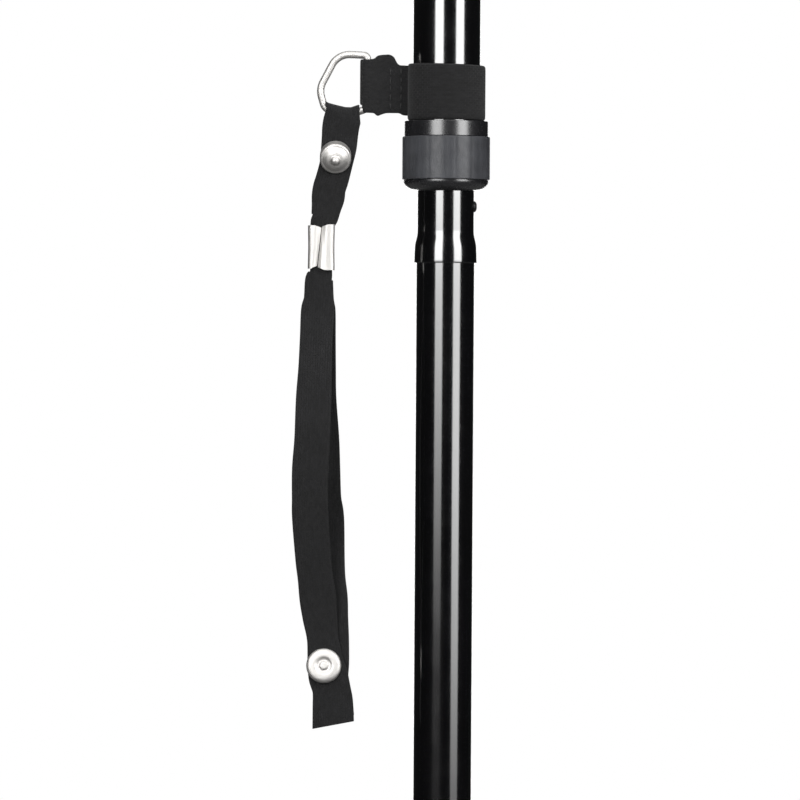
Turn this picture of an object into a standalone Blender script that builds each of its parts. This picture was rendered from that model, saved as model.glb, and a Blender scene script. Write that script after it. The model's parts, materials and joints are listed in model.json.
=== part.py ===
"""Folding quad cane: bent handle, telescoping and folding shaft, wrist strap and four-legged base.

Metres, +Z up. The origin is on the floor under the middle of the footprint. The camera side is -Y,
the strap hangs on the -X side, and the handle is bent in the X-Z plane. All heights are for the
lowest height setting. "Rise" is a height above the lip of the upper folding joint.
"""

import math

import bmesh
import bpy
from mathutils import Matrix, Vector

# Clearances, and the chamfer on cut ends
GAP = 0.0003
RUNNING_GAP = 0.0002
CHAMFER = 0.0004

# Roundness
SHAFT_SIDES = 32
SMALL_SIDES = 16
LEG_SIDES = 12
TIP_SIDES = 20
NECK_STEPS = 5
TOP_BEND_STEPS = 11
LEG_BEND_STEPS = 4
HANDLE_SIDES = 24

# Shaft tubes
HANDLE_TUBE_RADIUS = 0.0110
HANDLE_TUBE_WALL = 0.0015
INNER_TUBE_RADIUS = 0.00925
INNER_TUBE_WALL = 0.0012
SHAFT_TUBE_RADIUS = 0.0095
SHAFT_TUBE_WALL = 0.0015

# Folding joints
LOWER_JOINT_HEIGHT = 0.282
MIDDLE_SECTION_LENGTH = 0.208
SOCKET_DEPTH = 0.0057
SOCKET_WALL = 0.00055
SOCKET_CONE_LENGTH = 0.0033
SOCKET_LIP_ROUNDING = 0.00015
# Shape of the cone: share of the widening, and share of the cone's length above its foot
SOCKET_CONE_SHAPE = ((0.0, 1.0), (0.25, 0.65), (0.75, 0.20), (0.95, -0.20))
SPIGOT_WALL = 0.0012
SPIGOT_HELD_LENGTH = 0.030
SPIGOT_FREE_LENGTH = 0.040
SPIGOT_TAPER = 0.0006
SPIGOT_TAPER_LENGTH = 0.0020
RIVET_RISE = 0.0186
RIVET_SHANK_RADIUS = 0.0012
RIVET_HEAD_RADIUS = 0.0018
RIVET_HEAD_HEIGHT = 0.0008

# Elastic cord that pulls the sections together
CORD_RADIUS = 0.0020
ANCHOR_LENGTH = 0.006
LOWER_ANCHOR_DROP = 0.055

# Lock collar
NUT_RISE = 0.0236
NUT_LENGTH = 0.0178
NUT_BORE_LIP = 0.0030
NUT_SHOULDER_HEIGHT = 0.0034
# Underside of the nut: radius, and height above its foot
NUT_SHOULDER = (
    (0.0139, 0.0034), (0.0139, 0.0029), (0.0134, 0.0023), (0.0122, 0.0015), (0.0110, 0.0007), (0.0102, 0.0),
)
NUT_BODY_RADIUS = 0.0131
GRIP_RING_RADIUS = 0.01435
GRIP_RING_RIBS = 30
GRIP_RIB_DEPTH = 0.00015
# Shape of one rib: share of its pitch, and share of the groove's depth
GRIP_RIB_SHAPE = ((0.0, 0.0), (0.55, 0.0), (0.70, 1.0), (0.85, 1.0))
SLEEVE_FLANGE_RADIUS = 0.0137
SLEEVE_FLANGE_HEIGHT = 0.0048
SLEEVE_THREAD_RADIUS = 0.0122
SLEEVE_TONGUE_RADIUS = 0.0112
SLEEVE_STEP = 0.0008
HANDLE_TUBE_END_RISE = 0.0310

# Height setting
HOLE_PITCH = 0.020
HOLE_COUNT = 7
FIRST_HOLE_ABOVE_STRAP = 0.0150
BUTTON_RADIUS = 0.0038
BUTTON_PROUD = 0.0025
BUTTON_FLANGE_RADIUS = 0.0047
BUTTON_FLANGE_HEIGHT = 0.0010
BUTTON_FLANGE_REACH = 0.0061
INNER_TUBE_ABOVE_BUTTON = 0.015
SPRING_WIDTH = 0.0070
SPRING_THICKNESS = 0.0006
SPRING_DROP = 0.024
SPRING_BEND = 0.0024
SPRING_FRONT_RISE = 0.0045
SPRING_BACK_RISE = 0.0035
SPRING_BACK_REACH = 0.0066

# Handle
NECK_ABOVE_TOP_HOLE = 0.033
NECK_BEND_RADIUS = 0.035
NECK_ANGLE = 68.0
NECK_RUN = 0.040
TOP_BEND_RADIUS = 0.032
GRIP_LENGTH = 0.122
GRIP_RADIUS = 0.0170
GRIP_ROUNDING = 0.0040
GRIP_GAP_TO_BEND = 0.002
PLUG_FLANGE = 0.0030
PLUG_SHANK = 0.014
PLUG_RADIUS = 0.0160

# Strap band round the handle tube, and the loop sewn to it
BAND_WIDTH = 0.0184
BAND_THICKNESS = 0.0016
BAND_OVERLAP_START = 95.0
BAND_OVERLAP = 42.0
BAND_RAMP = 30.0
RING_LOOP_THICKNESS = 0.0011
RING_LOOP_NARROW = 0.0156
RING_LOOP_RISE = 0.0026
# Flat run of the loop: distance from the band, drop from its highest part, share of the band's width
RING_LOOP_RUN = ((0.0, 0.0006, 0.96), (0.0012, 0.0, 1.0), (0.0050, 0.0, 1.01))
# Distances in front of the bar where the loop's layers start to part, and where they are narrow
RING_LOOP_PARTS = 0.0050
RING_LOOP_NECK = 0.0022

# D ring
RING_WIRE_RADIUS = 0.0012
RING_BAR_REACH = 0.0259
RING_BAR_ABOVE_NUT = 0.0342
RING_LOOP_SHIFT = 0.0001
# Corners of the ring's middle line from the bar, and the radius of each bend
RING_CORNERS = (
    (0.0, 0.00985, 0.0015),
    (-0.0098, 0.0102, 0.0065),
    (-0.0158, -0.0013, 0.0065),
    (-0.0139, -0.0076, 0.0032),
    (0.0, -0.0100, 0.0015),
)
SEAT_SIDEWAYS = -0.0078

# Wrist strap: one strip over the ring, both runs hanging down
STRAP_THICKNESS = 0.0011
STRAP_CRIMPED_THICKNESS = 0.0015
STRAP_SEAT_WIDTH = 0.0092
STRAP_LAYER_GAP = 0.0003
STRAP_FOLD_LENGTH = 0.0100
STRAP_OPENING = 0.0085
CRIMP_TOP = 0.0375
CRIMP_BOTTOM = 0.0513
LOOP_END = 0.1735
# Each row: distance below the ring seat, sideways shift of the front run and of the back run, width
STRAP_ROUTE = (
    (0.0036, -0.0005, -0.0005, 0.0112),
    (0.0087, -0.0014, -0.0014, 0.0121),
    (0.0136, -0.0021, -0.0021, 0.0120),
    (0.0218, -0.0037, -0.0037, 0.0112),
    (0.0283, -0.0049, -0.0049, 0.0102),
    (0.0342, -0.0061, -0.0061, 0.0084),
    (0.0370, -0.0070, -0.0070, 0.0070),
    (0.0518, -0.0070, -0.0070, 0.0070),
    (0.0550, -0.0076, -0.0075, 0.0092),
    (0.0611, -0.0078, -0.0076, 0.0104),
    (0.0709, -0.0082, -0.0079, 0.0116),
    (0.0808, -0.0083, -0.0079, 0.0123),
    (0.0939, -0.0087, -0.0080, 0.0130),
    (0.1070, -0.0089, -0.0075, 0.0135),
    (0.1201, -0.0093, -0.0069, 0.0136),
    (0.1332, -0.0091, -0.0058, 0.0136),
    (0.1463, -0.0080, -0.0054, 0.0135),
    (0.1594, -0.0068, -0.0043, 0.0132),
    (0.1725, -0.0056, -0.0039, 0.0126),
    (0.1803, -0.0051, -0.0040, 0.0124),
    (0.1889, -0.0034, -0.0027, 0.0132),
)
FRONT_TAIL_DROP = 0.2013
BACK_TAIL_DROP = 0.1993
TAIL_SIDEWAYS = -0.0020
TAIL_WIDTH = 0.0136

# Crimp and snaps on the wrist strap
CRIMP_WIDTH = 0.0088
CRIMP_WALL = 0.0006
CRIMP_CORNER = 0.0016
CRIMP_SEAM = 0.0005
CRIMP_SEAM_SHIFT = -0.0011
UPPER_SNAP_DROP = 0.0136
UPPER_SNAP_SHIFT = -0.0021
UPPER_SNAP_RADIUS = 0.0051
LOWER_SNAP_DROP = 0.1803
LOWER_SNAP_SHIFT = -0.0053
LOWER_SNAP_RADIUS = 0.0055
SNAP_HEIGHT = 0.0018
SNAP_POST_RADIUS = 0.0015
SNAP_STUD_RADIUS = 0.0019

# Base
LEG_TUBE_RADIUS = 0.0080
LEG_TUBE_WALL = 0.0015
LEG_TOP_HEIGHT = 0.082
LEG_KNEE_HEIGHT = 0.046
LEG_TOP_SIDEWAYS = 0.024
LEG_TOP_FRONT = 0.028
LEG_TOP_REAR = 0.030
LEG_BEND_RADIUS = 0.018
FOOT_SIDEWAYS = 0.083
FOOT_FRONT = 0.045
FOOT_REAR = 0.079
TIP_RADIUS = 0.0160
TIP_HEIGHT = 0.034
TIP_FLOOR = 0.0080
TIP_NECK_RADIUS = 0.0112
TIP_TREAD = 0.006
TIP_RIM = 0.0012
TIP_NECK_LENGTH = 0.006
TIP_NECK_CHAMFER = 0.0008
PLATE_LENGTH = 0.072
PLATE_WIDTH = 0.042
PLATE_THICKNESS = 0.003
PLATE_CORNER = 0.008
PLATE_RIVET_SPACING = 0.022
PLATE_RIVET_SHANK = 0.0024
PLATE_RIVET_HEAD = 0.0048
PLATE_RIVET_HEIGHT = 0.0026
SOCKET_RADIUS = 0.0125
SOCKET_HEIGHT = 0.058
SOCKET_FLANGE_RADIUS = 0.0175
SOCKET_FLANGE_HEIGHT = 0.003
SOCKET_FILLET = 0.002
SOCKET_BOLT_HEIGHT = 0.034
SOCKET_BOLT_RADIUS = 0.0024
SOCKET_BOLT_HEAD = 0.0045
SOCKET_BOLT_HEAD_HEIGHT = 0.0030
SOCKET_NUT_RADIUS = 0.0050
SOCKET_NUT_HEIGHT = 0.0040
BOLT_PAST_NUT = 0.0015

# Worked out from the sizes above
SHAFT_Y = (FOOT_FRONT - FOOT_REAR) / 2
UPPER_JOINT_HEIGHT = LOWER_JOINT_HEIGHT + MIDDLE_SECTION_LENGTH
NUT_BOTTOM = UPPER_JOINT_HEIGHT + NUT_RISE
NUT_TOP = NUT_BOTTOM + NUT_LENGTH
FLANGE_TOP = NUT_TOP + GAP + SLEEVE_FLANGE_HEIGHT
BAND_BOTTOM = FLANGE_TOP + GAP
BAND_TOP = BAND_BOTTOM + BAND_WIDTH
BAND_OUTER_RADIUS = HANDLE_TUBE_RADIUS + GAP + BAND_THICKNESS
FIRST_HOLE_HEIGHT = BAND_TOP + FIRST_HOLE_ABOVE_STRAP
BUTTON_HEIGHT = FIRST_HOLE_HEIGHT + (HOLE_COUNT - 1) * HOLE_PITCH
HANDLE_TUBE_BOTTOM = UPPER_JOINT_HEIGHT + HANDLE_TUBE_END_RISE
RING_BAR_HEIGHT = NUT_BOTTOM + RING_BAR_ABOVE_NUT
SEAT_SLOPE = (RING_CORNERS[-2][1] - RING_CORNERS[-1][1]) / (RING_CORNERS[-1][0] - RING_CORNERS[-2][0])
SEAT_X = -RING_BAR_REACH + SEAT_SIDEWAYS
SEAT_Z = RING_BAR_HEIGHT + RING_CORNERS[-1][1] - SEAT_SIDEWAYS * SEAT_SLOPE
SPIGOT_RADIUS = SHAFT_TUBE_RADIUS - SHAFT_TUBE_WALL - RUNNING_GAP
PLATE_BOTTOM = LEG_TOP_HEIGHT + LEG_TUBE_RADIUS + GAP
PLATE_TOP = PLATE_BOTTOM + PLATE_THICKNESS
BOLT_HEIGHT = PLATE_TOP + GAP + SOCKET_BOLT_HEIGHT

parts = None
cutters = None
finishes = {}
frames = {}


def clear_scene():
    """Removes every object, so that the file holds the cane alone."""
    for item in list(bpy.data.objects):
        bpy.data.objects.remove(item, do_unlink=True)


def make_collection(name):
    collection = bpy.data.collections.new(name)
    bpy.context.scene.collection.children.link(collection)
    return collection


def make_finish(name, colour, roughness, metallic=0.0):
    finish = bpy.data.materials.new(name)
    finish.use_nodes = True
    shader = finish.node_tree.nodes["Principled BSDF"]
    shader.inputs["Base Color"].default_value = (*colour, 1.0)
    shader.inputs["Roughness"].default_value = roughness
    shader.inputs["Metallic"].default_value = metallic
    finish.diffuse_color = (*colour, 1.0)
    finishes[name] = finish


def make_frame(name, location, parent=None):
    """Adds an empty on a joint's axis, which carries the pieces that move with that joint."""
    empty = bpy.data.objects.new(name, None)
    empty.empty_display_size = 0.02
    parts.objects.link(empty)
    frames[name] = Vector(location)
    if parent:
        empty.parent = bpy.data.objects[parent]
        empty.location = frames[name] - frames[parent]
    else:
        empty.location = frames[name]


def add_part(name, mesh, finish, frame, location=(0.0, 0.0, 0.0), rotation=(0.0, 0.0, 0.0)):
    """Adds one sub-part, measured from the shaft's foot on the floor and carried by its frame."""
    mesh.materials.clear()
    mesh.materials.append(finishes[finish])
    mesh.shade_smooth()
    part = bpy.data.objects.new(name, mesh)
    parts.objects.link(part)
    part.parent = bpy.data.objects[frame]
    part.matrix_parent_inverse = Matrix.Translation(-frames[frame])
    part.location = Vector(location) + Vector((0.0, SHAFT_Y, 0.0))
    part.rotation_euler = rotation
    return part


def turn(part, sides):
    """Turns the part's profile round its own Z axis."""
    screw = part.modifiers.new("Turn", 'SCREW')
    screw.axis = 'Z'
    screw.angle = math.tau
    screw.steps = sides
    screw.render_steps = sides
    screw.use_merge_vertices = True
    screw.merge_threshold = 0.00001
    screw.use_smooth_shade = True


def profile_mesh(name, profile, closed):
    mesh = bpy.data.meshes.new(name)
    edges = [(i, i + 1) for i in range(len(profile) - 1)]
    if closed:
        edges.append((len(profile) - 1, 0))
    mesh.from_pydata([(radius, 0.0, height) for radius, height in profile], edges, [])
    return mesh


def turned_ring(name, outer, inner, sides, finish, frame, **place):
    """A hollow turned piece. Both sides of the profile are given from the top down."""
    profile = list(outer) + list(reversed(inner))
    part = add_part(name, profile_mesh(name, profile, closed=True), finish, frame, **place)
    turn(part, sides)
    return part


def turned_solid(name, outer, sides, finish, frame, **place):
    """A solid turned piece, given from the top down, closed on its axis."""
    profile = [(0.0, outer[0][1])] + list(outer) + [(0.0, outer[-1][1])]
    part = add_part(name, profile_mesh(name, profile, closed=False), finish, frame, **place)
    turn(part, sides)
    return part


def arc(centre, radius, start, end, steps):
    """Points on an arc, as pairs, with the angles in degrees from the first axis."""
    points = []
    for i in range(steps + 1):
        angle = math.radians(start + (end - start) * i / steps)
        points.append((centre[0] + radius * math.cos(angle), centre[1] + radius * math.sin(angle)))
    return points


def drill(part, name, radius, start, end):
    """Cuts a round hole from start to end, both measured from the shaft's foot."""
    start = Vector(start) + Vector((0.0, SHAFT_Y, 0.0))
    end = Vector(end) + Vector((0.0, SHAFT_Y, 0.0))
    mesh = bpy.data.meshes.new(name)
    shape = bmesh.new()
    bmesh.ops.create_cone(
        shape, cap_ends=True, segments=SMALL_SIDES, radius1=radius, radius2=radius,
        depth=(end - start).length, matrix=Matrix.Rotation(math.pi / SMALL_SIDES, 4, 'Z')
    )
    shape.to_mesh(mesh)
    shape.free()
    cutter = bpy.data.objects.new(name, mesh)
    cutter.location = (start + end) / 2
    cutter.rotation_mode = 'QUATERNION'
    cutter.rotation_quaternion = (end - start).to_track_quat('Z', 'Y')
    cut_with(part, cutter)


def cut_with(part, cutter):
    cutter.hide_render = True
    cutter.display_type = 'WIRE'
    cutters.objects.link(cutter)
    cut = part.modifiers.new(cutter.name, 'BOOLEAN')
    cut.operation = 'DIFFERENCE'
    cut.solver = 'EXACT'
    cut.object = cutter


def round_corners(points, radii, steps):
    """Replaces each inner corner of a route by an arc of its own radius."""
    route = [Vector(points[0])]
    for before, corner, after, radius in zip(points, points[1:], points[2:], radii):
        corner = Vector(corner)
        arriving = (corner - Vector(before)).normalized()
        leaving = (Vector(after) - corner).normalized()
        bend = arriving.angle(leaving)
        setback = radius * math.tan(bend / 2)
        inward = (leaving - arriving).normalized()
        centre = corner + inward * (radius / math.cos(bend / 2))
        start = corner - arriving * setback - centre
        turn_axis = arriving.cross(leaving).normalized()
        for i in range(steps + 1):
            route.append(centre + Matrix.Rotation(bend * i / steps, 3, turn_axis) @ start)
    route.append(Vector(points[-1]))
    return route


def tube_mesh(name, route, radius, sides, cyclic=False):
    """A round bar along a route, made as a bevelled curve and read back as a welded mesh."""
    curve = bpy.data.curves.new(name, 'CURVE')
    curve.dimensions = '3D'
    curve.bevel_depth = radius
    curve.bevel_resolution = sides // 2 - 2
    curve.use_fill_caps = not cyclic
    spline = curve.splines.new('POLY')
    spline.points.add(len(route) - 1)
    for point, place in zip(spline.points, route):
        point.co = (*place, 1.0)
    spline.use_cyclic_u = cyclic
    return mesh_from_curve(name, curve)


def plate_mesh(name, outlines, thickness):
    """A flat piece in the X-Y plane, centred on it, with its first outline filled and the rest open."""
    curve = bpy.data.curves.new(name, 'CURVE')
    curve.dimensions = '2D'
    curve.fill_mode = 'BOTH'
    curve.extrude = thickness / 2
    for outline in outlines:
        spline = curve.splines.new('POLY')
        spline.points.add(len(outline) - 1)
        for point, place in zip(spline.points, outline):
            point.co = (place[0], place[1], 0.0, 1.0)
        spline.use_cyclic_u = True
    return mesh_from_curve(name, curve)


def mesh_from_curve(name, curve):
    guide = bpy.data.objects.new(name + "_route", curve)
    parts.objects.link(guide)
    bpy.context.view_layer.update()
    mesh = bpy.data.meshes.new_from_object(guide.evaluated_get(bpy.context.evaluated_depsgraph_get()))
    mesh.name = name
    bpy.data.objects.remove(guide, do_unlink=True)
    bpy.data.curves.remove(curve)
    shape = bmesh.new()
    shape.from_mesh(mesh)
    bmesh.ops.remove_doubles(shape, verts=shape.verts, dist=0.00001)
    bmesh.ops.recalc_face_normals(shape, faces=shape.faces)
    shape.to_mesh(mesh)
    shape.free()
    return mesh


def hollow_tube(name, route, radius, wall, sides, finish, frame):
    """A bent tube, open at both ends."""
    part = add_part(name, tube_mesh(name, route, radius, sides), finish, frame)
    first = (route[0] - route[1]).normalized()
    last = (route[-1] - route[-2]).normalized()
    bore_route = [route[0] + first * radius] + route[1:-1] + [route[-1] + last * radius]
    bore = bpy.data.objects.new(name + "_bore", tube_mesh(name + "_bore", bore_route, radius - wall, sides))
    bore.location = (0.0, SHAFT_Y, 0.0)
    cut_with(part, bore)
    return part


def strip_mesh(name, stations):
    """A flat strip. Each station is its middle, half its width as a vector, and its thickness."""
    mesh = bpy.data.meshes.new(name)
    shape = bmesh.new()
    rows = []
    for i, (middle, half_width, thickness) in enumerate(stations):
        ahead = stations[min(i + 1, len(stations) - 1)][0]
        behind = stations[max(i - 1, 0)][0]
        outward = (ahead - behind).cross(half_width).normalized() * thickness / 2
        corners = (half_width + outward, -half_width + outward, -half_width - outward, half_width - outward)
        rows.append([shape.verts.new(middle + corner) for corner in corners])
    for row, following in zip(rows, rows[1:]):
        for side in range(4):
            other = (side + 1) % 4
            shape.faces.new((row[side], row[other], following[other], following[side]))
    shape.faces.new(reversed(rows[0]))
    shape.faces.new(rows[-1])
    bmesh.ops.recalc_face_normals(shape, faces=shape.faces)
    shape.to_mesh(mesh)
    shape.free()
    return mesh


def circle(centre, radius, sides):
    return arc(centre, radius, 0.0, 360.0 * (sides - 1) / sides, sides - 1)


def mirrored_name(base, side, end):
    return f"{base}_{end}_{side}"


# Folding shaft


def socket_profile(tube_radius, lip):
    """Outer side of a tube's swaged lower end, from the top of the swage down to the lip."""
    mouth = SHAFT_TUBE_RADIUS + RUNNING_GAP + SOCKET_WALL
    cone_foot = lip + SOCKET_DEPTH + GAP
    cone = [
        (tube_radius + (mouth - tube_radius) * widening, cone_foot + SOCKET_CONE_LENGTH * share)
        for widening, share in SOCKET_CONE_SHAPE
    ]
    return cone + [(mouth, lip + SOCKET_LIP_ROUNDING * 2), (mouth - SOCKET_LIP_ROUNDING, lip)]


def socket_bore(bore_radius, lip):
    """Inner side of the same end, from the top of the swage down to the lip."""
    mouth = SHAFT_TUBE_RADIUS + RUNNING_GAP
    cone_foot = lip + SOCKET_DEPTH + GAP
    return [
        (bore_radius, cone_foot + SOCKET_CONE_LENGTH * 0.80),
        (mouth, cone_foot),
        (mouth, lip),
    ]


def socketed_tube(name, radius, wall, top, lip, frame):
    """A shaft tube whose lower end is swaged out into a socket for the tube below."""
    outer = [(radius - CHAMFER, top), (radius, top - CHAMFER)] + socket_profile(radius, lip)
    inner = [(radius - wall, top)] + socket_bore(radius - wall, lip)
    tube = turned_ring(name, outer, inner, SHAFT_SIDES, "black_tube", frame)
    rivet_height = lip + RIVET_RISE
    drill(
        tube, name + "_rivet_hole", RIVET_SHANK_RADIUS + GAP,
        (INNER_TUBE_RADIUS / 2, 0.0, rivet_height), (radius * 1.5, 0.0, rivet_height)
    )
    return tube


def joint_spigot(name, lip, frame):
    """The thin tube riveted into a section, which slides into the section below."""
    top = lip + SPIGOT_HELD_LENGTH
    bottom = lip - SPIGOT_FREE_LENGTH
    bore = SPIGOT_RADIUS - SPIGOT_WALL
    outer = [
        (SPIGOT_RADIUS, top), (SPIGOT_RADIUS, bottom + SPIGOT_TAPER_LENGTH),
        (SPIGOT_RADIUS - SPIGOT_TAPER, bottom),
    ]
    inner = [(bore, top), (bore, bottom)]
    spigot = turned_ring(name, outer, inner, SHAFT_SIDES, "bright_aluminium", frame)
    rivet_height = lip + RIVET_RISE
    drill(
        spigot, name + "_rivet_hole", RIVET_SHANK_RADIUS + GAP,
        (bore / 2, 0.0, rivet_height), (SPIGOT_RADIUS * 1.5, 0.0, rivet_height)
    )
    return spigot


def joint_rivet(name, tube_radius, lip, frame):
    """The blind rivet on the +X side, whose domed head stands proud of the tube."""
    head_foot = tube_radius + GAP / 3
    tail = SPIGOT_RADIUS - SPIGOT_WALL - GAP
    outer = arc((0.0, head_foot), RIVET_HEAD_RADIUS, 90.0, 0.0, 4)
    flatness = RIVET_HEAD_HEIGHT / RIVET_HEAD_RADIUS
    outer = [(x, head_foot + (y - head_foot) * flatness) for x, y in outer[1:]]
    outer += [(RIVET_SHANK_RADIUS, head_foot), (RIVET_SHANK_RADIUS, tail)]
    profile = [(0.0, head_foot + RIVET_HEAD_HEIGHT)] + outer + [(0.0, tail)]
    part = add_part(
        name, profile_mesh(name, profile, closed=False), "black_rivet", frame,
        location=(0.0, 0.0, lip + RIVET_RISE), rotation=(0.0, math.radians(90.0), 0.0)
    )
    turn(part, SMALL_SIDES)


def cord_anchor(name, radius, top, frame):
    """The plug that holds an end of the elastic cord inside a tube."""
    bore = CORD_RADIUS + GAP
    outer = [(radius - CHAMFER, top), (radius, top - CHAMFER), (radius, top - ANCHOR_LENGTH)]
    inner = [(bore, top), (bore, top - ANCHOR_LENGTH)]
    turned_ring(name, outer, inner, SMALL_SIDES, "dark_plastic", frame)


def elastic_cord(name, top, bottom, frame):
    outer = [(CORD_RADIUS, top), (CORD_RADIUS, bottom)]
    turned_solid(name, outer, SMALL_SIDES, "elastic_cord", frame)


def build_folding_shaft():
    lower_top = LOWER_JOINT_HEIGHT + SOCKET_DEPTH
    middle_top = UPPER_JOINT_HEIGHT + SOCKET_DEPTH
    inner_top = BUTTON_HEIGHT + INNER_TUBE_ABOVE_BUTTON
    foot = PLATE_TOP + GAP
    bore = SHAFT_TUBE_RADIUS - SHAFT_TUBE_WALL
    lower_tube = turned_ring(
        "lower_tube",
        [
            (SHAFT_TUBE_RADIUS - CHAMFER, lower_top), (SHAFT_TUBE_RADIUS, lower_top - CHAMFER),
            (SHAFT_TUBE_RADIUS, foot),
        ],
        [(bore, lower_top), (bore, foot)], SHAFT_SIDES, "black_tube", "base"
    )
    drill(
        lower_tube, "lower_tube_bolt_hole", SOCKET_BOLT_RADIUS + GAP,
        (-SOCKET_RADIUS * 2, 0.0, BOLT_HEIGHT), (SOCKET_RADIUS * 2, 0.0, BOLT_HEIGHT)
    )
    socketed_tube(
        "middle_tube", SHAFT_TUBE_RADIUS, SHAFT_TUBE_WALL, middle_top, LOWER_JOINT_HEIGHT, "middle_section"
    )
    socketed_tube(
        "inner_tube", INNER_TUBE_RADIUS, INNER_TUBE_WALL, inner_top, UPPER_JOINT_HEIGHT, "upper_section"
    )
    drill(
        bpy.data.objects["inner_tube"], "inner_tube_button_hole", BUTTON_RADIUS + GAP,
        (0.0, INNER_TUBE_RADIUS / 2, BUTTON_HEIGHT), (0.0, INNER_TUBE_RADIUS * 1.5, BUTTON_HEIGHT)
    )
    joint_spigot("lower_spigot", LOWER_JOINT_HEIGHT, "middle_section")
    joint_spigot("upper_spigot", UPPER_JOINT_HEIGHT, "upper_section")
    joint_rivet("lower_joint_rivet", SHAFT_TUBE_RADIUS, LOWER_JOINT_HEIGHT, "middle_section")
    joint_rivet("upper_joint_rivet", INNER_TUBE_RADIUS, UPPER_JOINT_HEIGHT, "upper_section")
    upper_anchor_top = UPPER_JOINT_HEIGHT + SPIGOT_HELD_LENGTH + GAP + ANCHOR_LENGTH
    lower_anchor_top = LOWER_JOINT_HEIGHT - LOWER_ANCHOR_DROP
    inner_bore = INNER_TUBE_RADIUS - INNER_TUBE_WALL
    cord_anchor("upper_cord_anchor", inner_bore - GAP, upper_anchor_top, "upper_section")
    cord_anchor("lower_cord_anchor", bore - GAP, lower_anchor_top, "base")
    cord_middle = (LOWER_JOINT_HEIGHT + UPPER_JOINT_HEIGHT) / 2
    elastic_cord("elastic_cord_upper", upper_anchor_top, cord_middle + GAP / 2, "middle_section")
    elastic_cord("elastic_cord_lower", cord_middle - GAP / 2, lower_anchor_top - ANCHOR_LENGTH, "base")


# Lock collar


def build_collar():
    bore = INNER_TUBE_RADIUS + GAP
    tube_bore = HANDLE_TUBE_RADIUS + GAP
    step = HANDLE_TUBE_BOTTOM - GAP
    tongue_bottom = NUT_BOTTOM + NUT_BORE_LIP + GAP
    flange_foot = NUT_TOP + GAP
    turned_ring(
        "collar_sleeve",
        [
            (SLEEVE_FLANGE_RADIUS - CHAMFER, FLANGE_TOP), (SLEEVE_FLANGE_RADIUS, FLANGE_TOP - CHAMFER),
            (SLEEVE_FLANGE_RADIUS, flange_foot), (SLEEVE_THREAD_RADIUS, flange_foot),
            (SLEEVE_THREAD_RADIUS, step), (SLEEVE_TONGUE_RADIUS, step - SLEEVE_STEP),
            (SLEEVE_TONGUE_RADIUS, tongue_bottom),
        ],
        [(tube_bore, FLANGE_TOP), (tube_bore, step), (bore, step), (bore, tongue_bottom)],
        SHAFT_SIDES, "gloss_plastic", "handle_section"
    )
    thread_bore = SLEEVE_THREAD_RADIUS + GAP
    shoulder_top = NUT_BOTTOM + NUT_SHOULDER_HEIGHT
    shoulder = [(radius, NUT_BOTTOM + height) for radius, height in NUT_SHOULDER]
    turned_ring(
        "lock_nut", [(NUT_BODY_RADIUS, NUT_TOP), (NUT_BODY_RADIUS, shoulder_top)] + shoulder,
        [
            (thread_bore, NUT_TOP), (thread_bore, tongue_bottom - GAP / 2),
            (bore, tongue_bottom - GAP), (bore, NUT_BOTTOM),
        ],
        SHAFT_SIDES, "gloss_plastic", "lock_collar"
    )
    ring_bottom = shoulder_top + GAP
    ring_height = NUT_TOP - ring_bottom
    ribs = []
    for rib in range(GRIP_RING_RIBS):
        for share, depth in GRIP_RIB_SHAPE:
            angle = math.tau * (rib + share) / GRIP_RING_RIBS
            radius = GRIP_RING_RADIUS - GRIP_RIB_DEPTH * depth
            ribs.append((radius * math.cos(angle), radius * math.sin(angle)))
    hole = circle((0.0, 0.0), NUT_BODY_RADIUS + GAP, SHAFT_SIDES)
    mesh = plate_mesh("nut_grip_ring", [ribs, hole], ring_height)
    middle = ring_bottom + ring_height / 2
    add_part("nut_grip_ring", mesh, "grey_rubber", "lock_collar", location=(0.0, 0.0, middle))


# Height setting


def build_snap_button():
    tip = HANDLE_TUBE_RADIUS + BUTTON_PROUD
    dome = [(x, tip - BUTTON_RADIUS + y) for x, y in arc((0.0, 0.0), BUTTON_RADIUS, 65.0, 0.0, 4)]
    outer = dome + [
        (BUTTON_RADIUS, BUTTON_FLANGE_REACH), (BUTTON_FLANGE_RADIUS, BUTTON_FLANGE_REACH),
        (BUTTON_FLANGE_RADIUS, BUTTON_FLANGE_REACH - BUTTON_FLANGE_HEIGHT),
    ]
    turned_solid(
        "snap_button", outer, SMALL_SIDES, "bright_steel", "snap_button_frame",
        location=(0.0, 0.0, BUTTON_HEIGHT), rotation=(math.radians(-90.0), 0.0, 0.0)
    )
    front = BUTTON_FLANGE_REACH - BUTTON_FLANGE_HEIGHT - GAP - SPRING_THICKNESS / 2
    bend_side = front * 0.3
    bend_top = SPRING_BEND - SPRING_DROP
    route = [
        (front, SPRING_FRONT_RISE), (front, -SPRING_FRONT_RISE), (bend_side, bend_top), (0.0, -SPRING_DROP),
        (-bend_side, bend_top), (-SPRING_BACK_REACH, SPRING_BACK_RISE),
    ]
    half = Vector((SPRING_WIDTH / 2, 0.0, 0.0))
    stations = [(Vector((0.0, depth, BUTTON_HEIGHT + rise)), half, SPRING_THICKNESS) for depth, rise in route]
    add_part("button_spring", strip_mesh("button_spring", stations), "bright_steel", "upper_section")


# Handle


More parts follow.
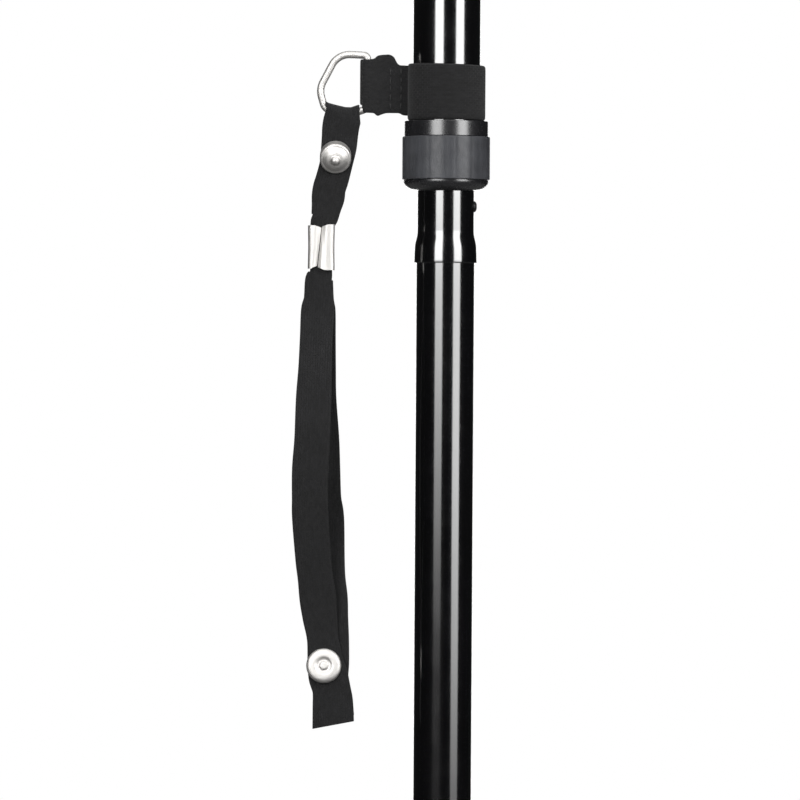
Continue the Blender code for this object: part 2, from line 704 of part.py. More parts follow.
def handle_route():
    """The middle line of the handle tube: straight shaft, forward neck, then back over the shaft."""
    neck_start = BUTTON_HEIGHT + NECK_ABOVE_TOP_HOLE
    neck = math.radians(NECK_ANGLE)
    route = [Vector((0.0, 0.0, HANDLE_TUBE_BOTTOM))]
    centre = Vector((NECK_BEND_RADIUS, 0.0, neck_start))
    for i in range(NECK_STEPS + 1):
        angle = neck * i / NECK_STEPS
        route.append(centre + NECK_BEND_RADIUS * Vector((-math.cos(angle), 0.0, math.sin(angle))))
    heading = Vector((math.sin(neck), 0.0, math.cos(neck)))
    run_end = route[-1] + heading * NECK_RUN
    inward = Vector((-math.cos(neck), 0.0, math.sin(neck)))
    centre = run_end + inward * TOP_BEND_RADIUS
    total = math.radians(90.0) + neck
    for i in range(TOP_BEND_STEPS + 1):
        turned = Matrix.Rotation(-total * i / TOP_BEND_STEPS, 3, 'Y') @ -inward
        route.append(centre + turned * TOP_BEND_RADIUS)
    grip_start = route[-1].x - GRIP_GAP_TO_BEND
    tube_end = grip_start - GRIP_LENGTH
    route.append(Vector((tube_end, 0.0, route[-1].z)))
    return route, grip_start


def build_handle():
    route, grip_start = handle_route()
    tube = hollow_tube(
        "handle_tube", route, HANDLE_TUBE_RADIUS, HANDLE_TUBE_WALL, HANDLE_SIDES,
        "black_tube", "handle_section"
    )
    for i in range(HOLE_COUNT):
        height = FIRST_HOLE_HEIGHT + i * HOLE_PITCH
        drill(
            tube, f"height_hole_{i + 1}", BUTTON_RADIUS + GAP,
            (0.0, HANDLE_TUBE_RADIUS / 2, height), (0.0, HANDLE_TUBE_RADIUS * 1.5, height)
        )
    grip_axis = route[-1].z
    along_minus_x = (0.0, math.radians(-90.0), 0.0)
    end = GRIP_LENGTH - GAP
    shoulder = GRIP_RADIUS - GRIP_ROUNDING
    outer = arc((shoulder, end - GRIP_ROUNDING), GRIP_ROUNDING, 90.0, 0.0, 4)
    outer += [(GRIP_RADIUS, GRIP_LENGTH / 2)]
    outer += arc((shoulder, GRIP_ROUNDING), GRIP_ROUNDING, 0.0, -90.0, 4)
    bore = HANDLE_TUBE_RADIUS + GAP
    turned_ring(
        "foam_grip", outer, [(bore, end), (bore, 0.0)], TIP_SIDES, "foam", "handle_section",
        location=(grip_start, 0.0, grip_axis), rotation=along_minus_x
    )
    shank = HANDLE_TUBE_RADIUS - HANDLE_TUBE_WALL - GAP
    dome = [
        (PLUG_RADIUS * 0.72, PLUG_FLANGE), (PLUG_RADIUS * 0.94, PLUG_FLANGE * 0.75),
        (PLUG_RADIUS, PLUG_FLANGE * 0.35),
    ]
    turned_solid(
        "grip_end_plug", dome + [(PLUG_RADIUS, 0.0), (shank, 0.0), (shank, -PLUG_SHANK)],
        TIP_SIDES, "dark_plastic", "handle_section",
        location=(route[-1].x - GAP, 0.0, grip_axis), rotation=along_minus_x
    )


# Strap band, ring loop and D ring


def build_strap_band():
    """One strip of webbing round the tube, its end lapped over its start at the back."""
    outer = []
    inner = []
    total = 360.0 + BAND_OVERLAP
    steps = 56
    for i in range(steps + 1):
        turned = total * i / steps
        lift = min(max((turned - 360.0 + BAND_RAMP) / BAND_RAMP, 0.0), 1.0)
        lift = lift * lift * (3 - 2 * lift) * (BAND_THICKNESS + GAP)
        angle = math.radians(BAND_OVERLAP_START + turned)
        low = HANDLE_TUBE_RADIUS + GAP + lift
        inner.append((low * math.cos(angle), low * math.sin(angle)))
        outer.append(((low + BAND_THICKNESS) * math.cos(angle), (low + BAND_THICKNESS) * math.sin(angle)))
    mesh = plate_mesh("strap_band", [outer + list(reversed(inner))], BAND_WIDTH)
    add_part("strap_band", mesh, "webbing", "strap_frame", location=(0.0, 0.0, BAND_BOTTOM + BAND_WIDTH / 2))


def build_ring_loop():
    """The short doubled piece of webbing that holds the ring's bar, sewn to the band."""
    layer = STRAP_LAYER_GAP / 2 + RING_LOOP_THICKNESS / 2
    fold = RING_WIRE_RADIUS + GAP + RING_LOOP_THICKNESS / 2
    band_end = -BAND_OUTER_RADIUS - GAP
    middle = BAND_BOTTOM + BAND_WIDTH / 2 + RING_LOOP_RISE
    low = RING_BAR_HEIGHT + RING_LOOP_SHIFT
    half_run = [
        (band_end - distance, layer, middle - drop, BAND_WIDTH * share)
        for distance, drop, share in RING_LOOP_RUN
    ]
    half_run += [
        (-RING_BAR_REACH + RING_LOOP_PARTS, layer, low, BAND_WIDTH * 0.95),
        (-RING_BAR_REACH + RING_LOOP_NECK, layer * 1.9, low, RING_LOOP_NARROW),
    ]
    stations = [(x, -y, z, width) for x, y, z, width in half_run]
    for x, y in arc((-RING_BAR_REACH, 0.0), fold, -90.0, -270.0, 8):
        stations.append((x, y, low, RING_LOOP_NARROW))
    stations += reversed(half_run)
    mesh = strip_mesh(
        "ring_loop",
        [
            (Vector((x, y, z)), Vector((0.0, 0.0, width / 2)), RING_LOOP_THICKNESS)
            for x, y, z, width in stations
        ]
    )
    add_part("ring_loop", mesh, "webbing", "strap_frame")


def build_ring():
    bar = Vector((-RING_BAR_REACH, 0.0, RING_BAR_HEIGHT))
    corners = [bar] + [bar + Vector((x, 0.0, z)) for x, z, _ in RING_CORNERS] + [bar]
    route = round_corners(corners, [radius for _, _, radius in RING_CORNERS], 6)
    mesh = tube_mesh("d_ring", route[:-1], RING_WIRE_RADIUS, 8, cyclic=True)
    add_part("d_ring", mesh, "nickel", "ring_frame")


# Wrist strap


def layer_depth(drop, thickness):
    """How far a run's middle lies from the strap's own plane, at a distance below the ring seat."""
    closed = STRAP_LAYER_GAP / 2 + thickness / 2
    fold = RING_WIRE_RADIUS + GAP * 1.3 + STRAP_THICKNESS / 2
    if drop < STRAP_FOLD_LENGTH:
        share = drop / STRAP_FOLD_LENGTH
        return fold + (closed - fold) * share * share * (3 - 2 * share)
    if CRIMP_BOTTOM < drop < LOOP_END:
        share = (drop - CRIMP_BOTTOM) / (LOOP_END - CRIMP_BOTTOM)
        return closed + STRAP_OPENING * math.sin(math.pi * share) ** 2
    return closed


def strap_station(middle, ahead, width, thickness):
    across = Vector((ahead.z, 0.0, -ahead.x)).normalized()
    if across.x < 0:
        across.negate()
    return middle, across * width / 2, thickness


def strap_run(side, tail_drop):
    """Stations of one hanging run from the seat down: side -1 is the front run, +1 the back one."""
    seat = Vector((SEAT_X, 0.0, SEAT_Z))
    rows = [(drop, front if side < 0 else back, width) for drop, front, back, width in STRAP_ROUTE]
    rows.append((tail_drop, TAIL_SIDEWAYS, TAIL_WIDTH))
    middles = []
    for drop, sideways, width in rows:
        crimped = CRIMP_TOP - 0.001 < drop < CRIMP_BOTTOM + 0.001
        thickness = STRAP_CRIMPED_THICKNESS if crimped else STRAP_THICKNESS
        depth = side * layer_depth(drop, thickness)
        middles.append((seat + Vector((sideways, depth, -drop)), width, thickness))
    stations = []
    for i, (middle, width, thickness) in enumerate(middles):
        ahead = middles[min(i + 1, len(middles) - 1)][0] - middles[max(i - 1, 0)][0]
        stations.append(strap_station(middle, ahead, width, thickness))
    return stations


def seat_fold():
    """Stations over the ring's wire, from the front run to the back run."""
    seat = Vector((SEAT_X, 0.0, SEAT_Z))
    tilt = math.atan(SEAT_SLOPE)
    across = Vector((math.cos(tilt), 0.0, -math.sin(tilt))) * STRAP_SEAT_WIDTH / 2
    upward = Vector((math.sin(tilt), 0.0, math.cos(tilt)))
    radius = layer_depth(0.0, STRAP_THICKNESS)
    stations = []
    for i in range(9):
        angle = math.radians(-90.0 + 180.0 * i / 8)
        middle = seat + Vector((0.0, math.sin(angle), 0.0)) * radius + upward * math.cos(angle) * radius
        stations.append((middle, across, STRAP_THICKNESS))
    return stations


def snap_hole(part, name, shift, drop):
    height = SEAT_Z - drop
    drill(
        part, name, SNAP_POST_RADIUS + GAP,
        (SEAT_X + shift, -STRAP_OPENING, height), (SEAT_X + shift, STRAP_OPENING, height)
    )


def build_wrist_strap():
    front = strap_run(-1, FRONT_TAIL_DROP)
    back = strap_run(1, BACK_TAIL_DROP)
    stations = list(reversed(front)) + seat_fold() + back
    strap = add_part("wrist_strap", strip_mesh("wrist_strap", stations), "webbing", "wrist_frame")
    snap_hole(strap, "upper_snap_hole", UPPER_SNAP_SHIFT, UPPER_SNAP_DROP)
    snap_hole(strap, "lower_snap_hole", LOWER_SNAP_SHIFT, LOWER_SNAP_DROP)


def build_crimp():
    """The sheet-metal clamp, rolled round both layers with its two ends meeting in front."""
    half_width = CRIMP_WIDTH / 2
    half_depth = STRAP_LAYER_GAP / 2 + STRAP_CRIMPED_THICKNESS + GAP + CRIMP_WALL
    outline = []
    inline = []
    for x, y, start in (
        (half_width, -half_depth, -90.0), (half_width, half_depth, 0.0),
        (-half_width, half_depth, 90.0), (-half_width, -half_depth, 180.0),
    ):
        centre = (x - math.copysign(CRIMP_CORNER, x), y - math.copysign(CRIMP_CORNER, y))
        outline += arc(centre, CRIMP_CORNER, start, start + 90.0, 4)
        inline += arc(centre, CRIMP_CORNER - CRIMP_WALL, start, start + 90.0, 4)
    right = CRIMP_SEAM_SHIFT + CRIMP_SEAM / 2
    left = CRIMP_SEAM_SHIFT - CRIMP_SEAM / 2
    front = -half_depth
    inside = front + CRIMP_WALL
    section = [(right, front)] + outline + [(left, front), (left, inside)]
    section += list(reversed(inline)) + [(right, inside)]
    mesh = plate_mesh("strap_crimp", [section], CRIMP_BOTTOM - CRIMP_TOP)
    middle = SEAT_Z - (CRIMP_TOP + CRIMP_BOTTOM) / 2
    sideways = next(front_shift for drop, front_shift, _, _ in STRAP_ROUTE if drop > CRIMP_TOP)
    add_part("strap_crimp", mesh, "nickel", "wrist_frame", location=(SEAT_X + sideways, 0.0, middle))


def build_snap(name, radius, shift, drop):
    """A ring snap: rimmed cap with its stud in front, domed cap behind."""
    face = STRAP_LAYER_GAP / 2 + STRAP_THICKNESS + GAP
    post_end = -face - GAP / 2
    height = SEAT_Z - drop
    profile = [
        (0.0, face + SNAP_HEIGHT * 0.85), (SNAP_STUD_RADIUS * 0.7, face + SNAP_HEIGHT * 0.85),
        (SNAP_STUD_RADIUS, face + SNAP_HEIGHT * 0.7), (SNAP_STUD_RADIUS, face + SNAP_HEIGHT * 0.35),
        (radius * 0.52, face + SNAP_HEIGHT * 0.35), (radius * 0.66, face + SNAP_HEIGHT * 0.9),
        (radius * 0.78, face + SNAP_HEIGHT), (radius * 0.92, face + SNAP_HEIGHT * 0.75),
        (radius, face + SNAP_HEIGHT * 0.25), (radius * 0.98, face),
        (SNAP_POST_RADIUS, face), (SNAP_POST_RADIUS, post_end + GAP), (0.0, post_end + GAP),
    ]
    front = add_part(
        name + "_snap", profile_mesh(name + "_snap", profile, closed=False), "nickel", "wrist_frame",
        location=(SEAT_X + shift, 0.0, height), rotation=(math.radians(90.0), 0.0, 0.0)
    )
    turn(front, TIP_SIDES)
    dome = [
        (radius * 0.35, face + SNAP_HEIGHT * 0.8), (radius * 0.7, face + SNAP_HEIGHT * 0.62),
        (radius * 0.92, face + SNAP_HEIGHT * 0.25), (radius * 0.92, face),
    ]
    turned_solid(
        name + "_snap_back", dome, TIP_SIDES, "nickel", "wrist_frame",
        location=(SEAT_X + shift, 0.0, height), rotation=(math.radians(-90.0), 0.0, 0.0)
    )


# Base


def leg_route(side):
    """One bent tube: down at the front foot, up, over under the plate, and down at the rear foot."""
    foot_end = TIP_FLOOR + GAP
    corners = [
        (side * FOOT_SIDEWAYS, -FOOT_FRONT, foot_end),
        (side * FOOT_SIDEWAYS, -FOOT_FRONT, LEG_KNEE_HEIGHT),
        (side * LEG_TOP_SIDEWAYS, -LEG_TOP_FRONT, LEG_TOP_HEIGHT),
        (side * LEG_TOP_SIDEWAYS, LEG_TOP_REAR, LEG_TOP_HEIGHT),
        (side * FOOT_SIDEWAYS, FOOT_REAR, LEG_KNEE_HEIGHT),
        (side * FOOT_SIDEWAYS, FOOT_REAR, foot_end),
    ]
    return round_corners(corners, [LEG_BEND_RADIUS] * 4, LEG_BEND_STEPS)


def build_legs():
    for side, label in ((-1, "left"), (1, "right")):
        leg = hollow_tube(
            f"leg_tube_{label}", leg_route(side), LEG_TUBE_RADIUS, LEG_TUBE_WALL, LEG_SIDES,
            "black_tube", "base"
        )
        for end, place in (("front", -PLATE_RIVET_SPACING / 2), ("rear", PLATE_RIVET_SPACING / 2)):
            name = mirrored_name("plate_rivet", label, end)
            x = side * LEG_TOP_SIDEWAYS
            drill(
                leg, name + "_hole", PLATE_RIVET_SHANK + GAP,
                (x, place, LEG_TOP_HEIGHT), (x, place, PLATE_TOP)
            )
            build_plate_rivet(name, x, place)


def build_plate_rivet(name, x, y):
    head_foot = PLATE_TOP + GAP / 3
    tail = LEG_TOP_HEIGHT + LEG_TUBE_RADIUS - LEG_TUBE_WALL - 0.001
    dome = [
        (PLATE_RIVET_HEAD * 0.4, head_foot + PLATE_RIVET_HEIGHT),
        (PLATE_RIVET_HEAD * 0.8, head_foot + PLATE_RIVET_HEIGHT * 0.7),
        (PLATE_RIVET_HEAD, head_foot + PLATE_RIVET_HEIGHT * 0.2), (PLATE_RIVET_HEAD, head_foot),
        (PLATE_RIVET_SHANK, head_foot), (PLATE_RIVET_SHANK, tail),
    ]
    turned_solid(name, dome, SMALL_SIDES, "bright_steel", "base", location=(x, y, 0.0))


def build_tips():
    for side, label in ((-1, "left"), (1, "right")):
        for end, place in (("front", -FOOT_FRONT), ("rear", FOOT_REAR)):
            bore = LEG_TUBE_RADIUS + GAP
            outer = [
                (TIP_NECK_RADIUS - TIP_NECK_CHAMFER, TIP_HEIGHT),
                (TIP_NECK_RADIUS, TIP_HEIGHT - TIP_NECK_CHAMFER),
                (TIP_NECK_RADIUS, TIP_HEIGHT - TIP_NECK_LENGTH), (TIP_NECK_RADIUS * 1.09, TIP_HEIGHT * 0.55),
                (TIP_RADIUS * 0.94, TIP_TREAD * 1.67), (TIP_RADIUS, TIP_TREAD), (TIP_RADIUS, TIP_RIM),
                (TIP_RADIUS - TIP_RIM, 0.0),
            ]
            profile = outer + [(0.0, 0.0)]
            inner = [(0.0, TIP_FLOOR), (bore, TIP_FLOOR), (bore, TIP_HEIGHT)]
            name = mirrored_name("rubber_tip", label, end)
            mesh = profile_mesh(name, inner + profile, closed=False)
            tip = add_part(name, mesh, "black_rubber", "base", location=(side * FOOT_SIDEWAYS, place, 0.0))
            turn(tip, TIP_SIDES)


def build_plate():
    half_length = PLATE_LENGTH / 2 - PLATE_CORNER
    half_width = PLATE_WIDTH / 2 - PLATE_CORNER
    outline = []
    for x, y, start in (
        (half_length, half_width, 0.0), (-half_length, half_width, 90.0),
        (-half_length, -half_width, 180.0), (half_length, -half_width, 270.0),
    ):
        outline += arc((x, y), PLATE_CORNER, start, start + 90.0, 5)
    holes = []
    for x in (-LEG_TOP_SIDEWAYS, LEG_TOP_SIDEWAYS):
        for y in (-PLATE_RIVET_SPACING / 2, PLATE_RIVET_SPACING / 2):
            holes.append(circle((x, y), PLATE_RIVET_SHANK + GAP, SMALL_SIDES))
    mesh = plate_mesh("base_plate", [outline] + holes, PLATE_THICKNESS)
    add_part("base_plate", mesh, "black_steel", "base", location=(0.0, 0.0, (PLATE_TOP + PLATE_BOTTOM) / 2))


def build_socket():
    foot = PLATE_TOP + GAP
    bore = SHAFT_TUBE_RADIUS + GAP
    outer = [
        (SOCKET_RADIUS - CHAMFER, foot + SOCKET_HEIGHT), (SOCKET_RADIUS, foot + SOCKET_HEIGHT - CHAMFER),
        (SOCKET_RADIUS, foot + SOCKET_FLANGE_HEIGHT + SOCKET_FILLET),
        (SOCKET_RADIUS + SOCKET_FILLET, foot + SOCKET_FLANGE_HEIGHT),
        (SOCKET_FLANGE_RADIUS, foot + SOCKET_FLANGE_HEIGHT), (SOCKET_FLANGE_RADIUS, foot),
    ]
    socket = turned_ring(
        "shaft_socket", outer, [(bore, foot + SOCKET_HEIGHT), (bore, foot)], SHAFT_SIDES,
        "black_steel", "base"
    )
    drill(
        socket, "shaft_socket_bolt_hole", SOCKET_BOLT_RADIUS + GAP,
        (-SOCKET_RADIUS * 2, 0.0, BOLT_HEIGHT), (SOCKET_RADIUS * 2, 0.0, BOLT_HEIGHT)
    )
    head_foot = SOCKET_RADIUS + GAP
    shank_end = -SOCKET_RADIUS - GAP - SOCKET_NUT_HEIGHT - BOLT_PAST_NUT
    bolt = [
        (SOCKET_BOLT_HEAD * 0.6, head_foot + SOCKET_BOLT_HEAD_HEIGHT),
        (SOCKET_BOLT_HEAD, head_foot + SOCKET_BOLT_HEAD_HEIGHT * 0.6), (SOCKET_BOLT_HEAD, head_foot),
        (SOCKET_BOLT_RADIUS, head_foot), (SOCKET_BOLT_RADIUS, shank_end),
    ]
    along_x = (0.0, math.radians(90.0), 0.0)
    turned_solid(
        "socket_bolt", bolt, SMALL_SIDES, "bright_steel", "base",
        location=(0.0, 0.0, BOLT_HEIGHT), rotation=along_x
    )
    hexagon = circle((0.0, 0.0), SOCKET_NUT_RADIUS, 6)
    hole = circle((0.0, 0.0), SOCKET_BOLT_RADIUS + GAP, SMALL_SIDES)
    mesh = plate_mesh("socket_nut", [hexagon, hole], SOCKET_NUT_HEIGHT)
    add_part(
        "socket_nut", mesh, "bright_steel", "base",
        location=(-SOCKET_RADIUS - GAP - SOCKET_NUT_HEIGHT / 2, 0.0, BOLT_HEIGHT), rotation=along_x
    )


def build_frames():
    """One empty on each joint's axis."""
    make_frame("base", (0.0, SHAFT_Y, 0.0))
    make_frame("middle_section", (0.0, SHAFT_Y, LOWER_JOINT_HEIGHT), "base")
    make_frame("upper_section", (0.0, SHAFT_Y, UPPER_JOINT_HEIGHT), "middle_section")
    make_frame("snap_button_frame", (0.0, SHAFT_Y, BUTTON_HEIGHT), "upper_section")
    make_frame("handle_section", (0.0, SHAFT_Y, HANDLE_TUBE_BOTTOM), "upper_section")
    make_frame("lock_collar", (0.0, SHAFT_Y, NUT_BOTTOM), "handle_section")
    make_frame("strap_frame", (0.0, SHAFT_Y, BAND_BOTTOM), "handle_section")
    make_frame("ring_frame", (-RING_BAR_REACH, SHAFT_Y, RING_BAR_HEIGHT), "strap_frame")
    make_frame("wrist_frame", (SEAT_X, SHAFT_Y, SEAT_Z), "ring_frame")


def build_finishes():
    make_finish("black_tube", (0.012, 0.012, 0.014), 0.15)
    make_finish("black_steel", (0.014, 0.014, 0.015), 0.35)
    make_finish("gloss_plastic", (0.010, 0.010, 0.011), 0.25)
    make_finish("dark_plastic", (0.020, 0.020, 0.021), 0.50)
    make_finish("grey_rubber", (0.075, 0.078, 0.085), 0.75)
    make_finish("black_rubber", (0.020, 0.020, 0.020), 0.85)
    make_finish("foam", (0.022, 0.022, 0.023), 0.95)
    make_finish("webbing", (0.024, 0.024, 0.026), 0.90)
    make_finish("elastic_cord", (0.60, 0.59, 0.56), 0.80)
    make_finish("nickel", (0.72, 0.71, 0.70), 0.18, metallic=1.0)
    make_finish("bright_steel", (0.60, 0.60, 0.61), 0.30, metallic=1.0)
    make_finish("bright_aluminium", (0.66, 0.66, 0.67), 0.30, metallic=1.0)
    make_finish("black_rivet", (0.015, 0.015, 0.016), 0.30)


def build_cane():
    global parts, cutters
    clear_scene()
    parts = make_collection("quad_cane")
    cutters = make_collection("cutters")
    build_finishes()
    build_frames()
    build_folding_shaft()
    build_collar()
    build_snap_button()
    build_handle()
    build_strap_band()
    build_ring_loop()
    build_ring()
    build_wrist_strap()
    build_crimp()
    build_snap("upper", UPPER_SNAP_RADIUS, UPPER_SNAP_SHIFT, UPPER_SNAP_DROP)
    build_snap("lower", LOWER_SNAP_RADIUS, LOWER_SNAP_SHIFT, LOWER_SNAP_DROP)
    build_legs()
    build_tips()
    build_plate()
    build_socket()


build_cane()
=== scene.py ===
"""Folding quad cane with a wrist strap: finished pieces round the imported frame, and a plain studio.

Metres, +Z up. The camera side is -Y, the strap hangs on the -X side and the handle bends in X-Z.
Tables of measured shapes are in millimetres, as their comments say.
"""

import json
import math
from bisect import bisect_right

import bmesh
import bpy
from bpy.props import FloatProperty, FloatVectorProperty, IntProperty, PointerProperty
from mathutils import Matrix, Vector


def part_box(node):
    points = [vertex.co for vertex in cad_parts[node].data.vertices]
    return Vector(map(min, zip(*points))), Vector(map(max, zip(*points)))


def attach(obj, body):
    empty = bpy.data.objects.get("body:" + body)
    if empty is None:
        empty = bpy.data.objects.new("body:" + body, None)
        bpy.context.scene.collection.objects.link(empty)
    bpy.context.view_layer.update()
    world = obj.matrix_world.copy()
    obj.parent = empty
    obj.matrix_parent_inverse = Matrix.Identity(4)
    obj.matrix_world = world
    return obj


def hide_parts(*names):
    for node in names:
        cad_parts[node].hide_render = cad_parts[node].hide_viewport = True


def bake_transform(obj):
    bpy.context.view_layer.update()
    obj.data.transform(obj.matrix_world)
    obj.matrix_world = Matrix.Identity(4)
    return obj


bl_info = {
    "name": "Quad Cane",
    "version": (1, 0, 0),
    "blender": (4, 5, 0),
    "location": "3D View > Sidebar > Quad Cane",
    "description": "Builds a folding quad cane with its wrist strap, and a plain studio round it",
    "category": "Add Mesh",
}

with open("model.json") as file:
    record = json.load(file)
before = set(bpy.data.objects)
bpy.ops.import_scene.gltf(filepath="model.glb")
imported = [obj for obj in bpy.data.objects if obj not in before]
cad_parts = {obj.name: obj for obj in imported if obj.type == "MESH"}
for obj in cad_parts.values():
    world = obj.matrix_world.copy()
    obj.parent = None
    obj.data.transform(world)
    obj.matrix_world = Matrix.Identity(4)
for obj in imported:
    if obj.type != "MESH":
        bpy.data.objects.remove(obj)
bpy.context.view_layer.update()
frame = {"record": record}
BODY_OF = {
    node: body for body, nodes in frame["record"]["behaviour"]["bodies"].items() for node in nodes
}

MM = 0.001
ALONG_X = Matrix.Rotation(math.radians(90), 4, 'Y')
ALONG_MINUS_X = Matrix.Rotation(math.radians(-90), 4, 'Y')
TO_FRONT = Matrix.Rotation(math.radians(90), 4, 'X')
TO_BACK = Matrix.Rotation(math.radians(-90), 4, 'X')
CLOTH_MAP = "cloth"

# Middle and outer radii of the shaft's tubes, and the height of the upper socket's lip
SHAFT_Y = (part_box("lower_tube")[0].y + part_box("lower_tube")[1].y) / 2
SHAFT_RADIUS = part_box("lower_tube")[1].x
HANDLE_RADIUS = 11.0 * MM
UPPER_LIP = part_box("inner_tube")[0].z

# Middle line of the D ring from its bar: sideways, up, bend radius, in mm. Then its wire's radius.
RING_CORNERS = (
    (0, 9.85, 1.5), (-9.8, 10.2, 6.5), (-15.8, -1.3, 6.5), (-13.9, -7.9, 3.2), (-6.0, -9.75, 4),
    (0, -7.6, 1.5),
)
WIRE = 1.2 * MM

# Loop that holds the ring's bar: distance from the shaft, top and bottom edge above the upper lip, in mm
LOOP_OUTLINE = (
    (12.3, 64.6, 48.3), (14.1, 64.7, 48.4), (15.4, 64.8, 49.0), (16.3, 65.6, 49.1), (17.3, 67.4, 49.1),
    (18.7, 68.2, 49.1), (20.0, 68.2, 49.0), (21.3, 68.1, 48.6), (22.6, 67.8, 48.2), (23.7, 66.9, 49.0),
)

# Wrist strap: distance below its seat on the ring, left and right edge of the front run, then of the back
# run, in mm
STRAP_ROUTE = (
    (2.2, -5.8, 5.8, -5.7, 5.8), (5.5, -6.9, 5.1, -6.8, 5.1), (8.8, -7.1, 4.7, -7.0, 4.7),
    (12.0, -7.3, 4.3, -7.2, 4.3), (17.0, -7.7, 3.1, -7.6, 3.1), (21.9, -8.9, 1.9, -8.8, 1.9),
    (25.2, -9.9, 0.9, -9.8, 0.9), (28.4, -10.3, 0.5, -10.2, 0.5), (31.7, -10.3, -0.6, -10.2, -0.6),
    (35.0, -10.4, -1.7, -10.3, -1.7), (37.6, -10.6, -3.4, -10.6, -3.4), (51.8, -10.6, -3.4, -10.6, -3.4),
    (55.0, -12.2, -3.1, -12.0, -3.1), (61.1, -12.6, -2.9, -12.4, -2.8), (65.1, -13.5, -2.6, -13.2, -2.2),
    (74.3, -13.8, -3.1, -13.5, -2.1), (84.0, -14.2, -3.3, -13.6, -2.0), (94.0, -14.9, -3.3, -13.8, -1.8),
    (107.1, -15.3, -3.7, -13.4, -0.8), (117.0, -16.0, -4.1, -13.2, -0.4), (126.7, -16.0, -4.3, -13.0, 0.0),
    (133.3, -15.9, -4.0, -12.0, 1.0), (146.4, -14.8, -3.1, -11.8, 1.3), (152.9, -14.0, -2.4, -11.6, 1.6),
    (159.5, -13.4, -1.4, -10.6, 2.4), (166.0, -12.3, -1.0, -10.4, 2.6), (172.6, -10.9, -0.6, -10.0, 2.9),
    (180.3, -10.7, 1.2, -9.9, 3.0), (185.0, -10.3, 2.7, -9.8, 2.8), (189.0, -9.0, 3.5, -9.0, 3.4),
    (193.5, -8.9, 4.3, -8.9, 4.2),
)
# Where the front and the back run are cut off, and the edges of both there
TAIL_DROPS = (200.8, 198.9)
TAIL_EDGES = (-8.9, 4.7, -8.9, 4.7)
# From where to where the clamp holds the runs, and where they bow apart
CRIMP_SPAN = (37.5, 51.3)
STRAP_OPENS = (51.3, 173.5)
# The seat, sideways and up from the middle of the ring's bar
STRAP_SEAT = (-7.8, -8.65)


def linear(code):
    """The linear values of an sRGB hex colour, which the shaders take."""
    values = [int(code[i:i + 2], 16) / 255 for i in (0, 2, 4)]
    return tuple(v / 12.92 if v <= 0.04045 else ((v + 0.055) / 1.055) ** 2.4 for v in values)


def length(name, description, default):
    """A size that the user can change."""
    return FloatProperty(
        name=name, description=description, default=default, min=0.0, unit='LENGTH', precision=5
    )


def colour(name, description, code):
    """A colour that the user can change."""
    return FloatVectorProperty(
        name=name, description=description, default=linear(code), size=3, min=0.0, max=1.0, subtype='COLOR'
    )


def strength(name, description, default):
    """A lamp's brightness that the user can change."""
    return FloatProperty(name=name, description=description, default=default, min=0.0)


class CaneSizes(bpy.types.PropertyGroup):
    tube_wall: length("Tube wall", "Wall of the handle tube and the shaft tubes", 0.0015)
    inner_radius: length("Inner tube radius", "Radius of the tube that slides in the handle tube", 0.00925)
    neck_radius: length("Neck bend", "Bend radius where the handle leaves the shaft", 0.035)
    neck_run: length("Neck run", "Straight run between the handle's two bends", 0.040)
    top_radius: length("Top bend", "Bend radius at the front of the handle", 0.032)
    neck_start: length("Neck height", "Height at which the handle tube starts to bend", 0.7232)
    hole_pitch: length("Hole pitch", "Distance between two height holes", 0.020)
    hole_radius: length("Hole radius", "Radius of a height hole", 0.0041)
    holes: IntProperty(name="Holes", description="Number of height holes", default=7, min=1, max=12)
    ribs: IntProperty(name="Ribs", description="Number of ribs on the grip ring", default=30, min=0, max=90)
    rib_depth: length("Rib depth", "Depth of the grooves between the grip ring's ribs", 0.00005)
    foam_crown: length("Grip crown", "How much thicker the foam grip is at its middle", 0.0005)
    strap_thickness: length("Strap thickness", "Thickness of the wrist strap's webbing", 0.0011)
    strap_opening: length("Strap opening", "How far each run of the wrist strap bows out", 0.0085)
    band_thickness: length("Band thickness", "Thickness of the webbing round the handle tube", 0.0016)
    thread: length("Thread", "Thickness of the sewing thread", 0.00036)
    stitch: length("Stitch", "Length of one stitch with its gap", 0.0028)
    tread_depth: length("Tread depth", "Depth of the grooves in the rubber tips", 0.0007)


class CaneColours(bpy.types.PropertyGroup):
    tube: colour("Tube", "Powder coat on the aluminium tubes", "030304")
    plastic: colour("Collar", "Gloss plastic of the lock collar", "161618")
    matte_plastic: colour("Plugs", "Matte plastic of the end plug and cord anchors", "1B1B1C")
    grip_ring: colour("Grip ring", "Rubber ring on the lock nut", "37383B")
    webbing: colour("Webbing", "Strap webbing", "101011")
    thread: colour("Thread", "Sewing thread", "09090A")
    foam: colour("Foam", "Foam of the hand grip", "1E1E1F")
    rubber: colour("Tips", "Rubber of the four tips", "1D1D1E")
    steel: colour("Base", "Paint on the steel plate and socket", "121214")
    nickel: colour("Nickel", "Nickel plate of the ring, clamp and snaps", "D3D1CE")
    zinc: colour("Zinc", "Zinc plate of bolt, nut, rivets and button", "C6C8CB")
    aluminium: colour("Aluminium", "Bare aluminium of the joint spigots", "C9CBCE")
    cord: colour("Cord", "Sleeve of the elastic cord", "D8D4C9")
    floor: colour("Floor", "Studio floor", "EDECEA")


class CaneStudio(bpy.types.PropertyGroup):
    lamp: strength("Lamp", "Brightness of the two tall lamps", 15.0)
    rear_lamp: strength("Rear lamp", "Brightness of the lamp behind", 4.0)
    top_lamp: strength("Top lamp", "Brightness of the overhead lamp", 2.5)
    fill: strength("Fill", "Light from all round", 0.22)
    lamp_distance: length("Lamp distance", "Distance of the tall lamps from the shaft", 1.2)


# Finishes


